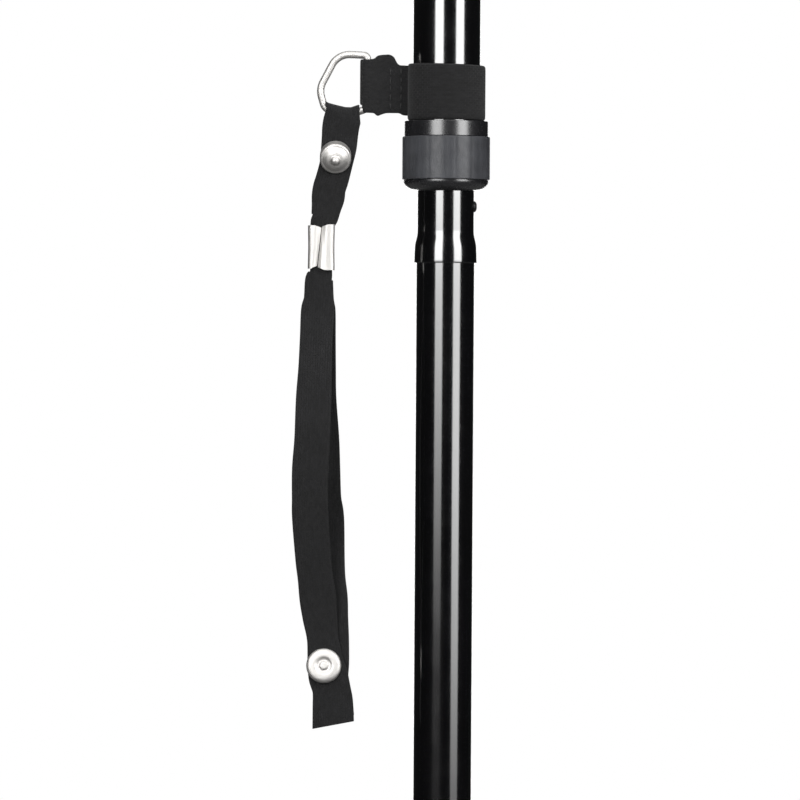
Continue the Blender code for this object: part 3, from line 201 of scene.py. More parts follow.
def add_node(finish, kind, inputs=None, **settings):
    """Adds one node with its settings, and sets or links its inputs."""
    tree = finish.node_tree
    node = tree.nodes.new(kind)
    for name, value in settings.items():
        setattr(node, name, value)
    for name, value in (inputs or {}).items():
        if isinstance(value, bpy.types.NodeSocket):
            tree.links.new(value, node.inputs[name])
        else:
            node.inputs[name].default_value = value
    return node


def new_finish(name, tone, roughness, sockets=None):
    """A finish with one shader. What is the same all over is set on the shader itself."""
    finish = bpy.data.materials.new(name)
    finish.use_nodes = True
    shader = finish.node_tree.nodes["Principled BSDF"]
    shader.inputs["Base Color"].default_value = (*tone, 1.0)
    shader.inputs["Roughness"].default_value = roughness
    for socket, value in (sockets or {}).items():
        shader.inputs[socket].default_value = value
    finish.diffuse_color = (*tone, 1.0)
    return finish


def shade(tone, factor):
    """A lighter or darker version of a tone, with the fourth value that a node takes."""
    return (*(min(value * factor, 1.0) for value in tone), 1.0)


def drive(finish, socket, source):
    """Lets a pattern set one socket of the finish's shader."""
    finish.node_tree.links.new(source, finish.node_tree.nodes["Principled BSDF"].inputs[socket])


def lay_relief(finish, height, depth):
    """Adds a bump of a real depth on top of those that the finish has."""
    normal = finish.node_tree.nodes["Principled BSDF"].inputs["Normal"]
    inputs = {"Height": height, "Distance": depth}
    if normal.is_linked:
        inputs["Normal"] = normal.links[0].from_socket
    drive(finish, "Normal", add_node(finish, "ShaderNodeBump", inputs).outputs["Normal"])


def lay_tones(finish, share, low, high):
    """Colours the finish between a darker and a lighter version of its own tone."""
    tones = [shade(finish.diffuse_color[:3], factor) for factor in (low, high)]
    mix = add_node(finish, "ShaderNodeMix", {0: share, 6: tones[0], 7: tones[1]}, data_type='RGBA')
    drive(finish, "Base Color", mix.outputs[2])


def lay_roughness(finish, share, low, high):
    """Varies the roughness between two values."""
    span = add_node(finish, "ShaderNodeMapRange", {"Value": share, "To Min": low, "To Max": high})
    drive(finish, "Roughness", span.outputs[0])


def grain(finish, size, stretch=(1.0, 1.0, 1.0), detail=3.0, low=0.35, high=0.65):
    """An uneven pattern whose features have a real size, from 0 to 1."""
    where = add_node(finish, "ShaderNodeTexCoord").outputs["Object"]
    placed = add_node(finish, "ShaderNodeMapping", {"Vector": where, "Scale": stretch}).outputs[0]
    noise = add_node(finish, "ShaderNodeTexNoise", {"Vector": placed, "Scale": 1 / size, "Detail": detail})
    span = add_node(
        finish, "ShaderNodeMapRange", {"Value": noise.outputs[0], "From Min": low, "From Max": high}
    )
    return span.outputs[0]


def tube_coat(colours):
    """Gloss black powder coat on drawn aluminium: deep black, clean long reflections, hardly any peel."""
    finish = new_finish("gloss_black_powder_coat", colours.tube, 0.16, {
        "IOR": 1.5, "Coat Weight": 1.0, "Coat Roughness": 0.12, "Coat IOR": 1.9,
    })
    lay_tones(finish, grain(finish, 0.030, detail=2.0), 0.75, 1.3)
    lay_roughness(finish, grain(finish, 0.006), 0.13, 0.20)
    # Orange peel of a thin coat is about 1.5 mm from crest to crest. It is drawn at 4 mm, so that it
    # doesn't sparkle.
    lay_relief(finish, grain(finish, 0.004, detail=1.0), 0.000001)
    return finish


def collar_plastic(colours):
    """Gloss moulded ABS: black, with softer and wider reflections than the tubes and a faint haze."""
    finish = new_finish("gloss_moulded_abs", colours.plastic, 0.30, {
        "IOR": 1.54, "Coat Weight": 0.8, "Coat Roughness": 0.24, "Coat IOR": 1.6,
    })
    lay_tones(finish, grain(finish, 0.008), 0.9, 1.1)
    lay_roughness(finish, grain(finish, 0.003), 0.26, 0.29)
    lay_relief(finish, grain(finish, 0.004, detail=1.0), 0.000001)
    return finish


def matte_plastic(colours):
    """Spark-textured nylon: dull, with the fine grit of its mould."""
    finish = new_finish("textured_moulded_nylon", colours.matte_plastic, 0.55, {"IOR": 1.53})
    lay_tones(finish, grain(finish, 0.004), 0.8, 1.25)
    # Mould grit is about 0.15 mm. It is drawn at 0.5 mm, so that it shows.
    lay_relief(finish, grain(finish, 0.0005, detail=2.0), 0.00002)
    return finish


def ring_rubber(colours):
    """Moulded thermoplastic rubber: matte dark grey with a soft broad shine and a faint dusty bloom."""
    finish = new_finish("matte_moulded_rubber", colours.grip_ring, 0.36, {"IOR": 1.36})
    lay_tones(finish, grain(finish, 0.005), 0.85, 1.15)
    lay_roughness(finish, grain(finish, 0.002), 0.32, 0.42)
    lay_relief(finish, grain(finish, 0.0006, detail=2.0), 0.000012)
    return finish


def webbing_cloth(colours):
    """Woven nylon webbing: dull charcoal, with staggered warp threads and a slight sheen on the curves."""
    finish = new_finish("woven_nylon_webbing", colours.webbing, 0.85, {
        "IOR": 1.35, "Sheen Weight": 0.08, "Sheen Roughness": 0.5,
    })
    flat = add_node(finish, "ShaderNodeUVMap", uv_map=CLOTH_MAP).outputs[0]
    in_mm = add_node(finish, "ShaderNodeVectorMath", {0: flat, "Scale": 1 / MM}, operation='SCALE').outputs[0]
    # Warp threads lie 0.8 mm apart, and each shows for 1.9 mm before it dives.
    weave = add_node(finish, "ShaderNodeTexBrick", {
        "Vector": in_mm, "Color1": shade(colours.webbing, 0.8), "Color2": shade(colours.webbing, 1.35),
        "Mortar": shade(colours.webbing, 0.45), "Scale": 1.0, "Mortar Size": 0.12, "Mortar Smooth": 1.0,
        "Brick Width": 1.9, "Row Height": 0.8,
    }, offset=0.5, offset_frequency=2)
    patches = grain(finish, 0.012, detail=2.0)
    worn = add_node(
        finish, "ShaderNodeMix",
        {0: patches, 6: (0.82, 0.82, 0.84, 1.0), 7: (1.15, 1.14, 1.12, 1.0)}, data_type='RGBA'
    )
    tone = add_node(
        finish, "ShaderNodeMix", {0: 1.0, 6: weave.outputs["Color"], 7: worn.outputs[2]},
        data_type='RGBA', blend_type='MULTIPLY'
    )
    drive(finish, "Base Color", tone.outputs[2])
    lay_roughness(finish, patches, 0.78, 0.92)
    raised = add_node(finish, "ShaderNodeMath", {0: 1.0, 1: weave.outputs["Fac"]}, operation='SUBTRACT')
    lay_relief(finish, raised.outputs[0], 0.00010)
    lay_relief(finish, grain(finish, 0.0035, detail=2.0), 0.00010)
    return finish


def sewing_thread(colours):
    """Bonded polyester thread: a little glossier than the webbing, with its twist just showing."""
    finish = new_finish("bonded_polyester_thread", colours.thread, 0.55, {"IOR": 1.5})
    twist = grain(finish, 0.0006, stretch=(1.0, 1.0, 2.0), detail=1.0)
    lay_tones(finish, twist, 0.7, 1.4)
    lay_relief(finish, twist, 0.00004)
    return finish


def grip_foam(colours):
    """Closed-cell EVA foam: very matte, with small open pores on its ground surface, sunk by a bump and
    painted darker as shade.
    """
    finish = new_finish("closed_cell_eva_foam", colours.foam, 0.95, {"IOR": 1.3, "Sheen Weight": 0.1})
    where = add_node(finish, "ShaderNodeTexCoord").outputs["Object"]
    # Pores are about 0.3 mm. They are drawn at 0.9 mm, so that they show.
    cells = add_node(finish, "ShaderNodeTexVoronoi", {"Vector": where, "Scale": 1100.0}).outputs["Distance"]
    pore_depth_and_shade = add_node(
        finish, "ShaderNodeMapRange", {"Value": cells, "From Min": 0.05, "From Max": 0.45}
    ).outputs[0]
    # Painted shade: the pores are darker in colour, as well as sunk by the bump below.
    lay_tones(finish, pore_depth_and_shade, 0.55, 1.3)
    lay_relief(finish, pore_depth_and_shade, 0.00008)
    lay_relief(finish, grain(finish, 0.006), 0.00012)
    return finish


def tip_rubber(colours):
    """Moulded natural rubber: matte black, with a grey bloom and light scuffing low down."""
    finish = new_finish("moulded_natural_rubber", colours.rubber, 0.75, {"IOR": 1.45})
    where = add_node(finish, "ShaderNodeTexCoord").outputs["Object"]
    height = add_node(finish, "ShaderNodeSeparateXYZ", {0: where}).outputs["Z"]
    low_down = add_node(
        finish, "ShaderNodeMapRange", {"Value": height, "From Min": 0.009, "From Max": 0.0, "To Max": 1.0}
    ).outputs[0]
    scuffs = grain(finish, 0.0016, detail=5.0, low=0.45, high=0.70)
    worn = add_node(finish, "ShaderNodeMath", {0: low_down, 1: scuffs}, operation='MULTIPLY').outputs[0]
    lay_tones(finish, worn, 1.0, 3.2)
    lay_roughness(finish, grain(finish, 0.004), 0.66, 0.84)
    lay_relief(finish, grain(finish, 0.0007, detail=2.0), 0.00002)
    return finish


def base_paint(colours):
    """Satin black paint on pressed steel: dull shine, fine peel, and the odd rub mark."""
    finish = new_finish("satin_black_enamel", colours.steel, 0.34, {
        "IOR": 1.5, "Coat Weight": 0.4, "Coat Roughness": 0.25,
    })
    rubs = grain(finish, 0.005, detail=6.0, low=0.55, high=0.75)
    lay_tones(finish, rubs, 0.9, 2.2)
    lay_roughness(finish, grain(finish, 0.003), 0.28, 0.44)
    lay_relief(finish, grain(finish, 0.0008, detail=2.0), 0.00001)
    return finish


def nickel_plate(colours):
    """Satin nickel plate on stamped steel: nearly white, with soft edges to its reflections."""
    finish = new_finish("satin_nickel_plate", colours.nickel, 0.55, {"Metallic": 1.0})
    lay_tones(finish, grain(finish, 0.004), 0.96, 1.0)
    lay_roughness(finish, grain(finish, 0.002, detail=2.0), 0.52, 0.58)
    return finish


def zinc_plate(colours):
    """Bright zinc plate on steel: cooler and duller than nickel, slightly cloudy."""
    finish = new_finish("bright_zinc_plate", colours.zinc, 0.34, {"Metallic": 1.0})
    lay_tones(finish, grain(finish, 0.002, detail=4.0), 0.75, 1.0)
    lay_roughness(finish, grain(finish, 0.001, detail=4.0), 0.27, 0.45)
    return finish


def drawn_aluminium(colours):
    """Bare drawn aluminium: satin, with the fine lengthwise lines of the drawing die."""
    finish = new_finish("bare_drawn_aluminium", colours.aluminium, 0.32, {
        "Metallic": 1.0, "Anisotropic": 0.4,
    })
    # Die lines are about 0.1 mm apart. They are drawn at 0.4 mm, so that they show.
    lines = grain(finish, 0.0004, stretch=(1.0, 1.0, 0.02), detail=2.0)
    lay_tones(finish, lines, 0.85, 1.0)
    lay_roughness(finish, lines, 0.26, 0.40)
    lay_relief(finish, lines, 0.000004)
    return finish


def cord_sleeve(colours):
    """Braided polyester sleeve on a rubber core: off-white, with the diamonds of the braid."""
    finish = new_finish("braided_elastic_cord", colours.cord, 0.8, {"IOR": 1.45, "Sheen Weight": 0.2})
    flat = add_node(finish, "ShaderNodeUVMap", uv_map=CLOTH_MAP).outputs[0]
    turned = add_node(
        finish, "ShaderNodeMapping",
        {"Vector": flat, "Rotation": (0.0, 0.0, math.radians(45)), "Scale": (1000.0, 1000.0, 1.0)}
    ).outputs[0]
    # Each yarn of the braid shows as a diamond of about 1.2 mm.
    braid = add_node(finish, "ShaderNodeTexBrick", {
        "Vector": turned, "Color1": shade(colours.cord, 0.85), "Color2": shade(colours.cord, 1.0),
        "Mortar": shade(colours.cord, 0.4), "Scale": 1.0, "Mortar Size": 0.12, "Mortar Smooth": 1.0,
        "Brick Width": 1.2, "Row Height": 1.2,
    }, offset=0.0)
    drive(finish, "Base Color", braid.outputs["Color"])
    raised = add_node(finish, "ShaderNodeMath", {0: 1.0, 1: braid.outputs["Fac"]}, operation='SUBTRACT')
    lay_relief(finish, raised.outputs[0], 0.00012)
    return finish


FINISHES = {
    "black_tube": tube_coat, "black_steel": base_paint, "gloss_plastic": collar_plastic,
    "dark_plastic": matte_plastic, "grey_rubber": ring_rubber, "black_rubber": tip_rubber,
    "foam": grip_foam, "webbing": webbing_cloth, "elastic_cord": cord_sleeve, "nickel": nickel_plate,
    "bright_steel": zinc_plate, "bright_aluminium": drawn_aluminium, "black_rivet": base_paint,
    "thread": sewing_thread,
}
made_finishes = {}


def finish_named(name):
    """The finish for a slot of the record, made once."""
    maker = FINISHES[name]
    if maker not in made_finishes:
        made_finishes[maker] = maker(bpy.context.scene.cane_colours)
    return made_finishes[maker]


# Shapes

CREASE = math.radians(35)


def add_object(name, data):
    """Adds an object to the scene."""
    thing = bpy.data.objects.new(name, data)
    bpy.context.scene.collection.objects.link(thing)
    return thing


def mesh_of(name, shape):
    """Turns a shape into a mesh whose faces look outward."""
    bmesh.ops.recalc_face_normals(shape, faces=shape.faces)
    mesh = bpy.data.meshes.new(name)
    shape.to_mesh(mesh)
    shape.free()
    return mesh


def evaluated_mesh(thing):
    """The mesh that an object's modifiers or curve settings make."""
    bpy.context.view_layer.update()
    return bpy.data.meshes.new_from_object(thing.evaluated_get(bpy.context.evaluated_depsgraph_get()))


def apply_modifiers(piece):
    """Turns what a piece's modifiers make into its own mesh."""
    old = piece.data
    piece.data = evaluated_mesh(piece)
    piece.modifiers.clear()
    bpy.data.meshes.remove(old)


def new_object(name, shape, finish):
    """Turns a finished shape into an object with smooth faces and sharp creases."""
    bmesh.ops.remove_doubles(shape, verts=shape.verts, dist=1e-7)
    mesh = mesh_of(name, shape)
    mesh.shade_smooth()
    mesh.set_sharp_from_angle(angle=CREASE)
    mesh.materials.append(finish)
    return add_object(name, mesh)


def carve(piece, tool_shape):
    """Cuts a shape out of a piece for good."""
    tool = add_object("cutter", mesh_of("cutter", tool_shape))
    cut = piece.modifiers.new("Cut", 'BOOLEAN')
    cut.operation = 'DIFFERENCE'
    cut.solver = 'EXACT'
    cut.object = tool
    apply_modifiers(piece)
    bpy.data.meshes.remove(tool.data)
    piece.data.set_sharp_from_angle(angle=CREASE)


def dress(node, shape, slot, cuts=()):
    """Makes the finished piece that stands for one node of the frame and rides on that node's body."""
    piece = new_object("cane_" + node, shape, finish_named(slot))
    for cut in cuts:
        carve(piece, cut)
    # The large faces keep the light straight beside their small bevels.
    weigh = piece.modifiers.new("Weigh", 'WEIGHTED_NORMAL')
    weigh.keep_sharp = True
    apply_modifiers(piece)
    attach(piece, BODY_OF[node])
    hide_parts(node)
    return piece


def dress_between(node, shape, slot, bodies, start, end):
    """Makes the finished piece for a node that runs between two bodies, fixed where it is made."""
    piece = new_object("cane_" + node, shape, finish_named(slot))
    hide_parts(node)
    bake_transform(piece)


def middle_of(node):
    """The middle of a node's box."""
    low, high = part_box(node)
    return (low + high) / 2


def on_shaft(height=0.0, behind=0.0):
    """A place on the shaft's axis, or straight behind it."""
    return Matrix.Translation((0.0, SHAFT_Y + behind, height))


def part_way(value, start, end):
    """How far a value has come from start to end, from 0 to 1."""
    return min(max((value - start) / (end - start), 0.0), 1.0)


def eased_share(share):
    """The same share with a gentle start and end."""
    return share * share * (3 - 2 * share)


def circle(x, y, radius, sides):
    """Points round a centre."""
    return [
        (x + radius * math.cos(math.tau * i / sides), y + radius * math.sin(math.tau * i / sides))
        for i in range(sides)
    ]


def eased(points, steps=4):
    """Rounds the corners of an outline. A point is a radius, a height and, for a round corner, its size."""
    outline = []
    count = len(points)
    for i, point in enumerate(points):
        here = Vector(point[:2])
        if len(point) == 2:
            outline.append(tuple(here))
            continue
        before = Vector(points[i - 1][:2]) - here
        after = Vector(points[(i + 1) % count][:2]) - here
        start = here + before.normalized() * min(point[2], before.length * 0.5)
        end = here + after.normalized() * min(point[2], after.length * 0.5)
        for k in range(steps + 1):
            t = k / steps
            outline.append(tuple(start * (1 - t) ** 2 + here * 2 * t * (1 - t) + end * t * t))
    return outline


def bridge(shape, first, second, flat_map=None, rows=None, around=0.0):
    """Joins two rings of points with faces. A ring of one point closes the shape there."""
    count = max(len(first), len(second))
    for i in range(count):
        j = (i + 1) % count
        picks = [(first, i, 0), (first, j, 0), (second, j, 1), (second, i, 1)]
        corners = [ring[k % len(ring)] for ring, k, _ in picks]
        unique = list(dict.fromkeys(corners))
        if len(unique) < 3:
            continue
        face = shape.faces.new(unique)
        if flat_map is not None:
            lifts = {}
            for (_, k, row), corner in zip(picks, corners):
                step = i + 1 if k == j else i
                lifts.setdefault(corner, (rows[row], around * step / count))
            for loop in face.loops:
                loop[flat_map].uv = lifts[loop.vert]


def hoops(stops, sides, closed, shape=None, mapped=False):
    """Joins circles into a surface. A stop is a frame, a radius and a shift along the frame's Z."""
    shape = shape or bmesh.new()
    flat_map = shape.loops.layers.uv.new(CLOTH_MAP) if mapped else None
    rings = []
    for place, radius, shift in stops:
        spots = circle(0.0, 0.0, radius, sides) if radius > 0.0 else [(0.0, 0.0)]
        rings.append([shape.verts.new(place @ Vector((x, y, shift))) for x, y in spots])
    around = math.tau * max(radius for _, radius, _ in stops)
    for i in range(len(rings) if closed else len(rings) - 1):
        j = (i + 1) % len(rings)
        bridge(shape, rings[i], rings[j], flat_map, (stops[i][2], stops[j][2]), around)
    return shape


def revolve(outline, sides, place, closed=True, mapped=False):
    """Turns an outline of (radius, height) round a place's Z axis. An open outline starts and ends on it."""
    return hoops([(place, radius, height) for radius, height in outline], sides, closed, mapped=mapped)


def shaft_ring(outer, inner, sides=96):
    """A hollow turned piece on the shaft's axis, with both sides of its outline given from the top down."""
    return revolve(eased(list(outer) + list(reversed(inner))), sides, on_shaft())


def turned(outline, place, sides=48):
    """A solid turned piece, given from its outer end to its inner end."""
    path = [(0.0, outline[0][1])] + list(outline) + [(0.0, outline[-1][1])]
    return revolve(eased(path), sides, place, closed=False)


def rod(radius, start, end, sides, place):
    """A plain rod that cuts a hole."""
    return turned([(radius, start), (radius, end)], place, sides)


def frames_along(route):
    """A frame at each point of a route, with Z ahead, turned as little as possible on the way."""
    frames = []
    across = None
    for i, point in enumerate(route):
        ahead = (route[min(i + 1, len(route) - 1)] - route[max(i - 1, 0)]).normalized()
        if across is None:
            across = ahead.orthogonal().normalized()
        across = (across - ahead * across.dot(ahead)).normalized()
        axes = Matrix((across, ahead.cross(across), ahead)).transposed()
        frames.append(Matrix.Translation(point) @ axes.to_4x4())
    return frames


def bent_tube(route, radius, wall, sides):
    """A bent tube with deburred open ends."""
    frames = frames_along(route)
    burr = 0.3 * MM
    bore = radius - wall
    stops = [(frames[0], radius - burr, 0.0), (frames[0], radius, burr)]
    stops += [(place, radius, 0.0) for place in frames[1:-1]]
    stops += [(frames[-1], radius, -burr), (frames[-1], radius - burr, 0.0), (frames[-1], bore, 0.0)]
    stops += [(place, bore, 0.0) for place in reversed(frames[1:-1])]
    stops.append((frames[0], bore, 0.0))
    return hoops(stops, sides, closed=True)


def rounded_route(points, radii, steps=12):
    """Replaces each inner corner of a route with an arc of its own radius."""
    route = [Vector(points[0])]
    for before, corner, after, radius in zip(points, points[1:], points[2:], radii):
        corner = Vector(corner)
        arriving = (corner - Vector(before)).normalized()
        leaving = (Vector(after) - corner).normalized()
        bend = arriving.angle(leaving)
        centre = corner + (leaving - arriving).normalized() * (radius / math.cos(bend / 2))
        start = corner - arriving * (radius * math.tan(bend / 2)) - centre
        axis = arriving.cross(leaving).normalized()
        route += [centre + Matrix.Rotation(bend * i / steps, 3, axis) @ start for i in range(steps + 1)]
    route.append(Vector(points[-1]))
    return route


def punched(outlines, thickness, rounding, place):
    """A flat piece with round edges, cut from its first outline, with the others as holes."""
    curve = bpy.data.curves.new("outline", 'CURVE')
    curve.dimensions = '2D'
    curve.fill_mode = 'BOTH'
    curve.extrude = thickness / 2 - rounding
    curve.bevel_depth = rounding
    curve.bevel_resolution = 2
    curve.offset = -rounding
    for outline in outlines:
        spline = curve.splines.new('POLY')
        spline.points.add(len(outline) - 1)
        for point, (x, y) in zip(spline.points, outline):
            point.co = (x, y, 0.0, 1.0)
        spline.use_cyclic_u = True
    mesh = evaluated_mesh(add_object("outline", curve))
    shape = bmesh.new()
    shape.from_mesh(mesh)
    bmesh.ops.remove_doubles(shape, verts=shape.verts, dist=1e-6)
    shape.transform(place)
    bpy.data.curves.remove(curve)
    bpy.data.meshes.remove(mesh)
    return shape


def distances(points):
    """How far along a path each of its points is."""
    travelled = [0.0]
    for here, following in zip(points, points[1:]):
        travelled.append(travelled[-1] + (following - here).length)
    return travelled


def stretch_at(travelled, distance):
    """The stretch of a path in which a distance falls, and how far along that stretch it is."""
    k = min(bisect_right(travelled, distance) - 1, len(travelled) - 2)
    return k, min((distance - travelled[k]) / max(travelled[k + 1] - travelled[k], 1e-9), 1.0)


# Cloth


def smoothed(rows, steps):
    """A smooth run of rows of numbers or vectors through the given ones."""
    result = []
    last = len(rows) - 1
    for i in range(last):
        a, b, c, d = (rows[min(max(i + k, 0), last)] for k in (-1, 0, 1, 2))
        for k in range(steps):
            t = k / steps
            result.append([
                0.5 * (
                    2 * q + (r - p) * t + (2 * p - 5 * q + 4 * r - s) * t * t
                    + (3 * q - p - 3 * r + s) * t ** 3
                )
                for p, q, r, s in zip(a, b, c, d)
            ])
    result.append(list(rows[-1]))
    return result


# Share of the half width, and share of the thickness that the webbing has there
SELVEDGE = (
    (-1.0, 0.40), (-0.975, 0.75), (-0.93, 0.95), (-0.82, 1.0), (-0.5, 1.0), (-0.17, 1.0),
    (0.17, 1.0), (0.5, 1.0), (0.82, 1.0), (0.93, 0.95), (0.975, 0.75), (1.0, 0.40),
)
# How far apart the maps of the webbing's two faces lie
BACK_MAP = 20.0 * MM


def webbing(stations, steps):
    """A strip of webbing with rolled selvedges. A station is its middle, half its width and its thickness."""
    rows = smoothed([(middle, half, Vector((thick, 0, 0))) for middle, half, thick in stations], steps)
    shape = bmesh.new()
    flat_map = shape.loops.layers.uv.new(CLOTH_MAP)
    middles = [row[0] for row in rows]
    travelled = distances(middles)
    last = len(rows) - 1
    rings = []
    for i, (middle, half, thick) in enumerate(rows):
        ahead = middles[min(i + 1, last)] - middles[max(i - 1, 0)]
        outward = ahead.cross(half).normalized() * (thick.x / 2)
        across = half.length
        ring = [(middle + half * s + outward * t, s * across) for s, t in SELVEDGE]
        ring += [(middle + half * s - outward * t, s * across + BACK_MAP) for s, t in reversed(SELVEDGE)]
        rings.append([(shape.verts.new(place), travelled[i], sideways) for place, sideways in ring])
    for first, second in zip(rings, rings[1:]):
        for k in range(len(first)):
            m = (k + 1) % len(first)
            corners = (first[k], first[m], second[m], second[k])
            face = shape.faces.new([corner[0] for corner in corners])
            for loop, corner in zip(face.loops, corners):
                loop[flat_map].uv = corner[1:]
    shape.faces.new([corner[0] for corner in reversed(rings[0])])
    shape.faces.new([corner[0] for corner in rings[-1]])
    return shape


def sealed(stations):
    """Adds the thin heat-sealed lip at each cut end of a strip."""
    lip = 0.07 * MM
    result = list(stations)
    for end, inner, index in (
        (stations[0], stations[1], 0), (stations[-1], stations[-2], len(result) + 1),
    ):
        outward = (end[0] - inner[0]).normalized()
        result.insert(index, (end[0] + outward * lip, end[1] * 0.985, end[2] * 0.45))
    return result


# A stitch: share of its pitch, height in thread widths, and radius in thread widths
STITCH = (
    (0.08, -0.5, 0.30), (0.18, 0.05, 0.46), (0.36, 0.30, 0.5), (0.64, 0.30, 0.5), (0.82, 0.05, 0.46),
    (0.92, -0.5, 0.30),
)


def stitches(shape, path, sizes):
    """Sews a row of stitches along a path of (point, outward direction) pairs."""
    travelled = distances([point for point, _ in path])
    count = max(1, round(travelled[-1] / sizes.stitch))
    pitch = travelled[-1] / count
    for i in range(count):
        route = []
        for share, lift, _ in STITCH:
            k, along = stretch_at(travelled, (i + share) * pitch)
            (here, out_here), (following, out_following) = path[k:k + 2]
            outward = out_here.lerp(out_following, along).normalized()
            route.append(here.lerp(following, along) + outward * (lift * sizes.thread))
        frames = frames_along(route)
        stops = [(place, row[2] * sizes.thread, 0.0) for place, row in zip(frames, STITCH)]
        hoops([(frames[0], 0.0, 0.0)] + stops + [(frames[-1], 0.0, 0.0)], 8, closed=False, shape=shape)


def sew_on(name, shape, body):
    """Finishes a seam, which rides with the cloth that it holds."""
    piece = new_object(name, shape, finish_named("thread"))
    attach(piece, body)


# Shaft

TUBE_SIDES = 128


def socketed(node, radius, sizes):
    """A shaft tube whose lower end is swaged out over the tube below."""
    low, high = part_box(node)
    mouth = SHAFT_RADIUS + 0.75 * MM
    socket = SHAFT_RADIUS + 0.2 * MM
    bore = radius - sizes.tube_wall + (0.3 * MM if radius < SHAFT_RADIUS else 0.0)
    seat = low.z + 6.0 * MM
    outer = [
        (radius, high.z, 0.4 * MM), (radius, seat + 3.6 * MM, 1.0 * MM),
        (mouth - 0.12 * MM, seat - 0.1 * MM, 1.4 * MM), (mouth, low.z + 1.6 * MM, 0.5 * MM),
        (mouth + 0.05 * MM, low.z, 0.35 * MM),
    ]
    inner = [
        (bore, high.z, 0.2 * MM), (bore, seat + 2.6 * MM, 0.8 * MM), (socket, seat, 0.5 * MM),
        (socket, low.z, 0.15 * MM),
    ]
    return shaft_ring(outer, inner, TUBE_SIDES)


class BuildShaft(bpy.types.Operator):
    """Makes the three shaft tubes with their swaged sockets, spigots and blind rivets"""
    bl_idname = "quad_cane.build_shaft"
    bl_label = "Shaft"

    def execute(self, context):
        sizes = context.scene.cane_sizes
        low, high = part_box("lower_tube")
        bore = SHAFT_RADIUS - sizes.tube_wall
        dress("lower_tube", shaft_ring(
            [(SHAFT_RADIUS, high.z, 0.5 * MM), (SHAFT_RADIUS, low.z, 0.3 * MM)],
            [(bore, high.z, 0.2 * MM), (bore, low.z, 0.2 * MM)], TUBE_SIDES
        ), "black_tube")
        dress("middle_tube", socketed("middle_tube", SHAFT_RADIUS, sizes), "black_tube")
        inner_radius = sizes.inner_radius
        button = on_shaft(middle_of("snap_button").z, inner_radius / 2) @ TO_BACK
        button_hole = rod(sizes.hole_radius, 0.0, inner_radius, 48, button)
        dress("inner_tube", socketed("inner_tube", inner_radius, sizes), "black_tube", [button_hole])
        self.build_spigot("lower_spigot")
        self.build_spigot("upper_spigot")
        self.build_rivet("lower_joint_rivet", SHAFT_RADIUS)
        self.build_rivet("upper_joint_rivet", inner_radius)
        return {'FINISHED'}

    def build_spigot(self, node):
        """The bare tube on which a folding joint slides together."""
        low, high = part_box(node)
        bore = high.x - 1.2 * MM
        dress(node, shaft_ring(
            [(high.x, high.z, 0.3 * MM), (high.x, low.z, 1.4 * MM)], [(bore, high.z), (bore, low.z, 0.3 * MM)]
        ), "bright_aluminium")

    def build_rivet(self, node, tube_radius):
        """A blind rivet through one wall of the tube, with a low round head."""
        low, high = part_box(node)
        head, shank = 1.8 * MM, 1.2 * MM
        dress(node, turned([
            (0.9 * MM, high.x, 0.5 * MM), (head, tube_radius + 0.35 * MM, 0.6 * MM), (head, tube_radius),
            (shank, tube_radius), (shank, low.x, 0.3 * MM),
        ], on_shaft(middle_of(node).z) @ ALONG_X), "black_rivet")


class BuildCord(bpy.types.Operator):
    """Makes the elastic cord in the shaft and the plugs that hold it"""
    bl_idname = "quad_cane.build_cord"
    bl_label = "Elastic Cord"

    def execute(self, context):
        hole = 2.3 * MM
        for node in ("upper_cord_anchor", "lower_cord_anchor"):
            low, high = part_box(node)
            dress(node, shaft_ring(
                [(high.x, high.z, 0.6 * MM), (high.x, low.z, 0.4 * MM)],
                [(hole, high.z, 0.4 * MM), (hole, low.z, 0.4 * MM)], 64
            ), "dark_plastic")
        steps = 32
        for node, bodies in (
            ("elastic_cord_lower", ("base", "middle_section")),
            ("elastic_cord_upper", ("middle_section", "upper_section")),
        ):
            low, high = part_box(node)
            side = [(high.x, low.z + (high.z - low.z) * i / steps) for i in range(steps + 1)]
            outline = [(0.0, low.z)] + side + [(0.0, high.z)]
            shape = revolve(outline, 24, on_shaft(), closed=False, mapped=True)
            ends = (0.0, SHAFT_Y, low.z), (0.0, SHAFT_Y, high.z)
            dress_between(node, shape, "elastic_cord", bodies, *ends)
        return {'FINISHED'}


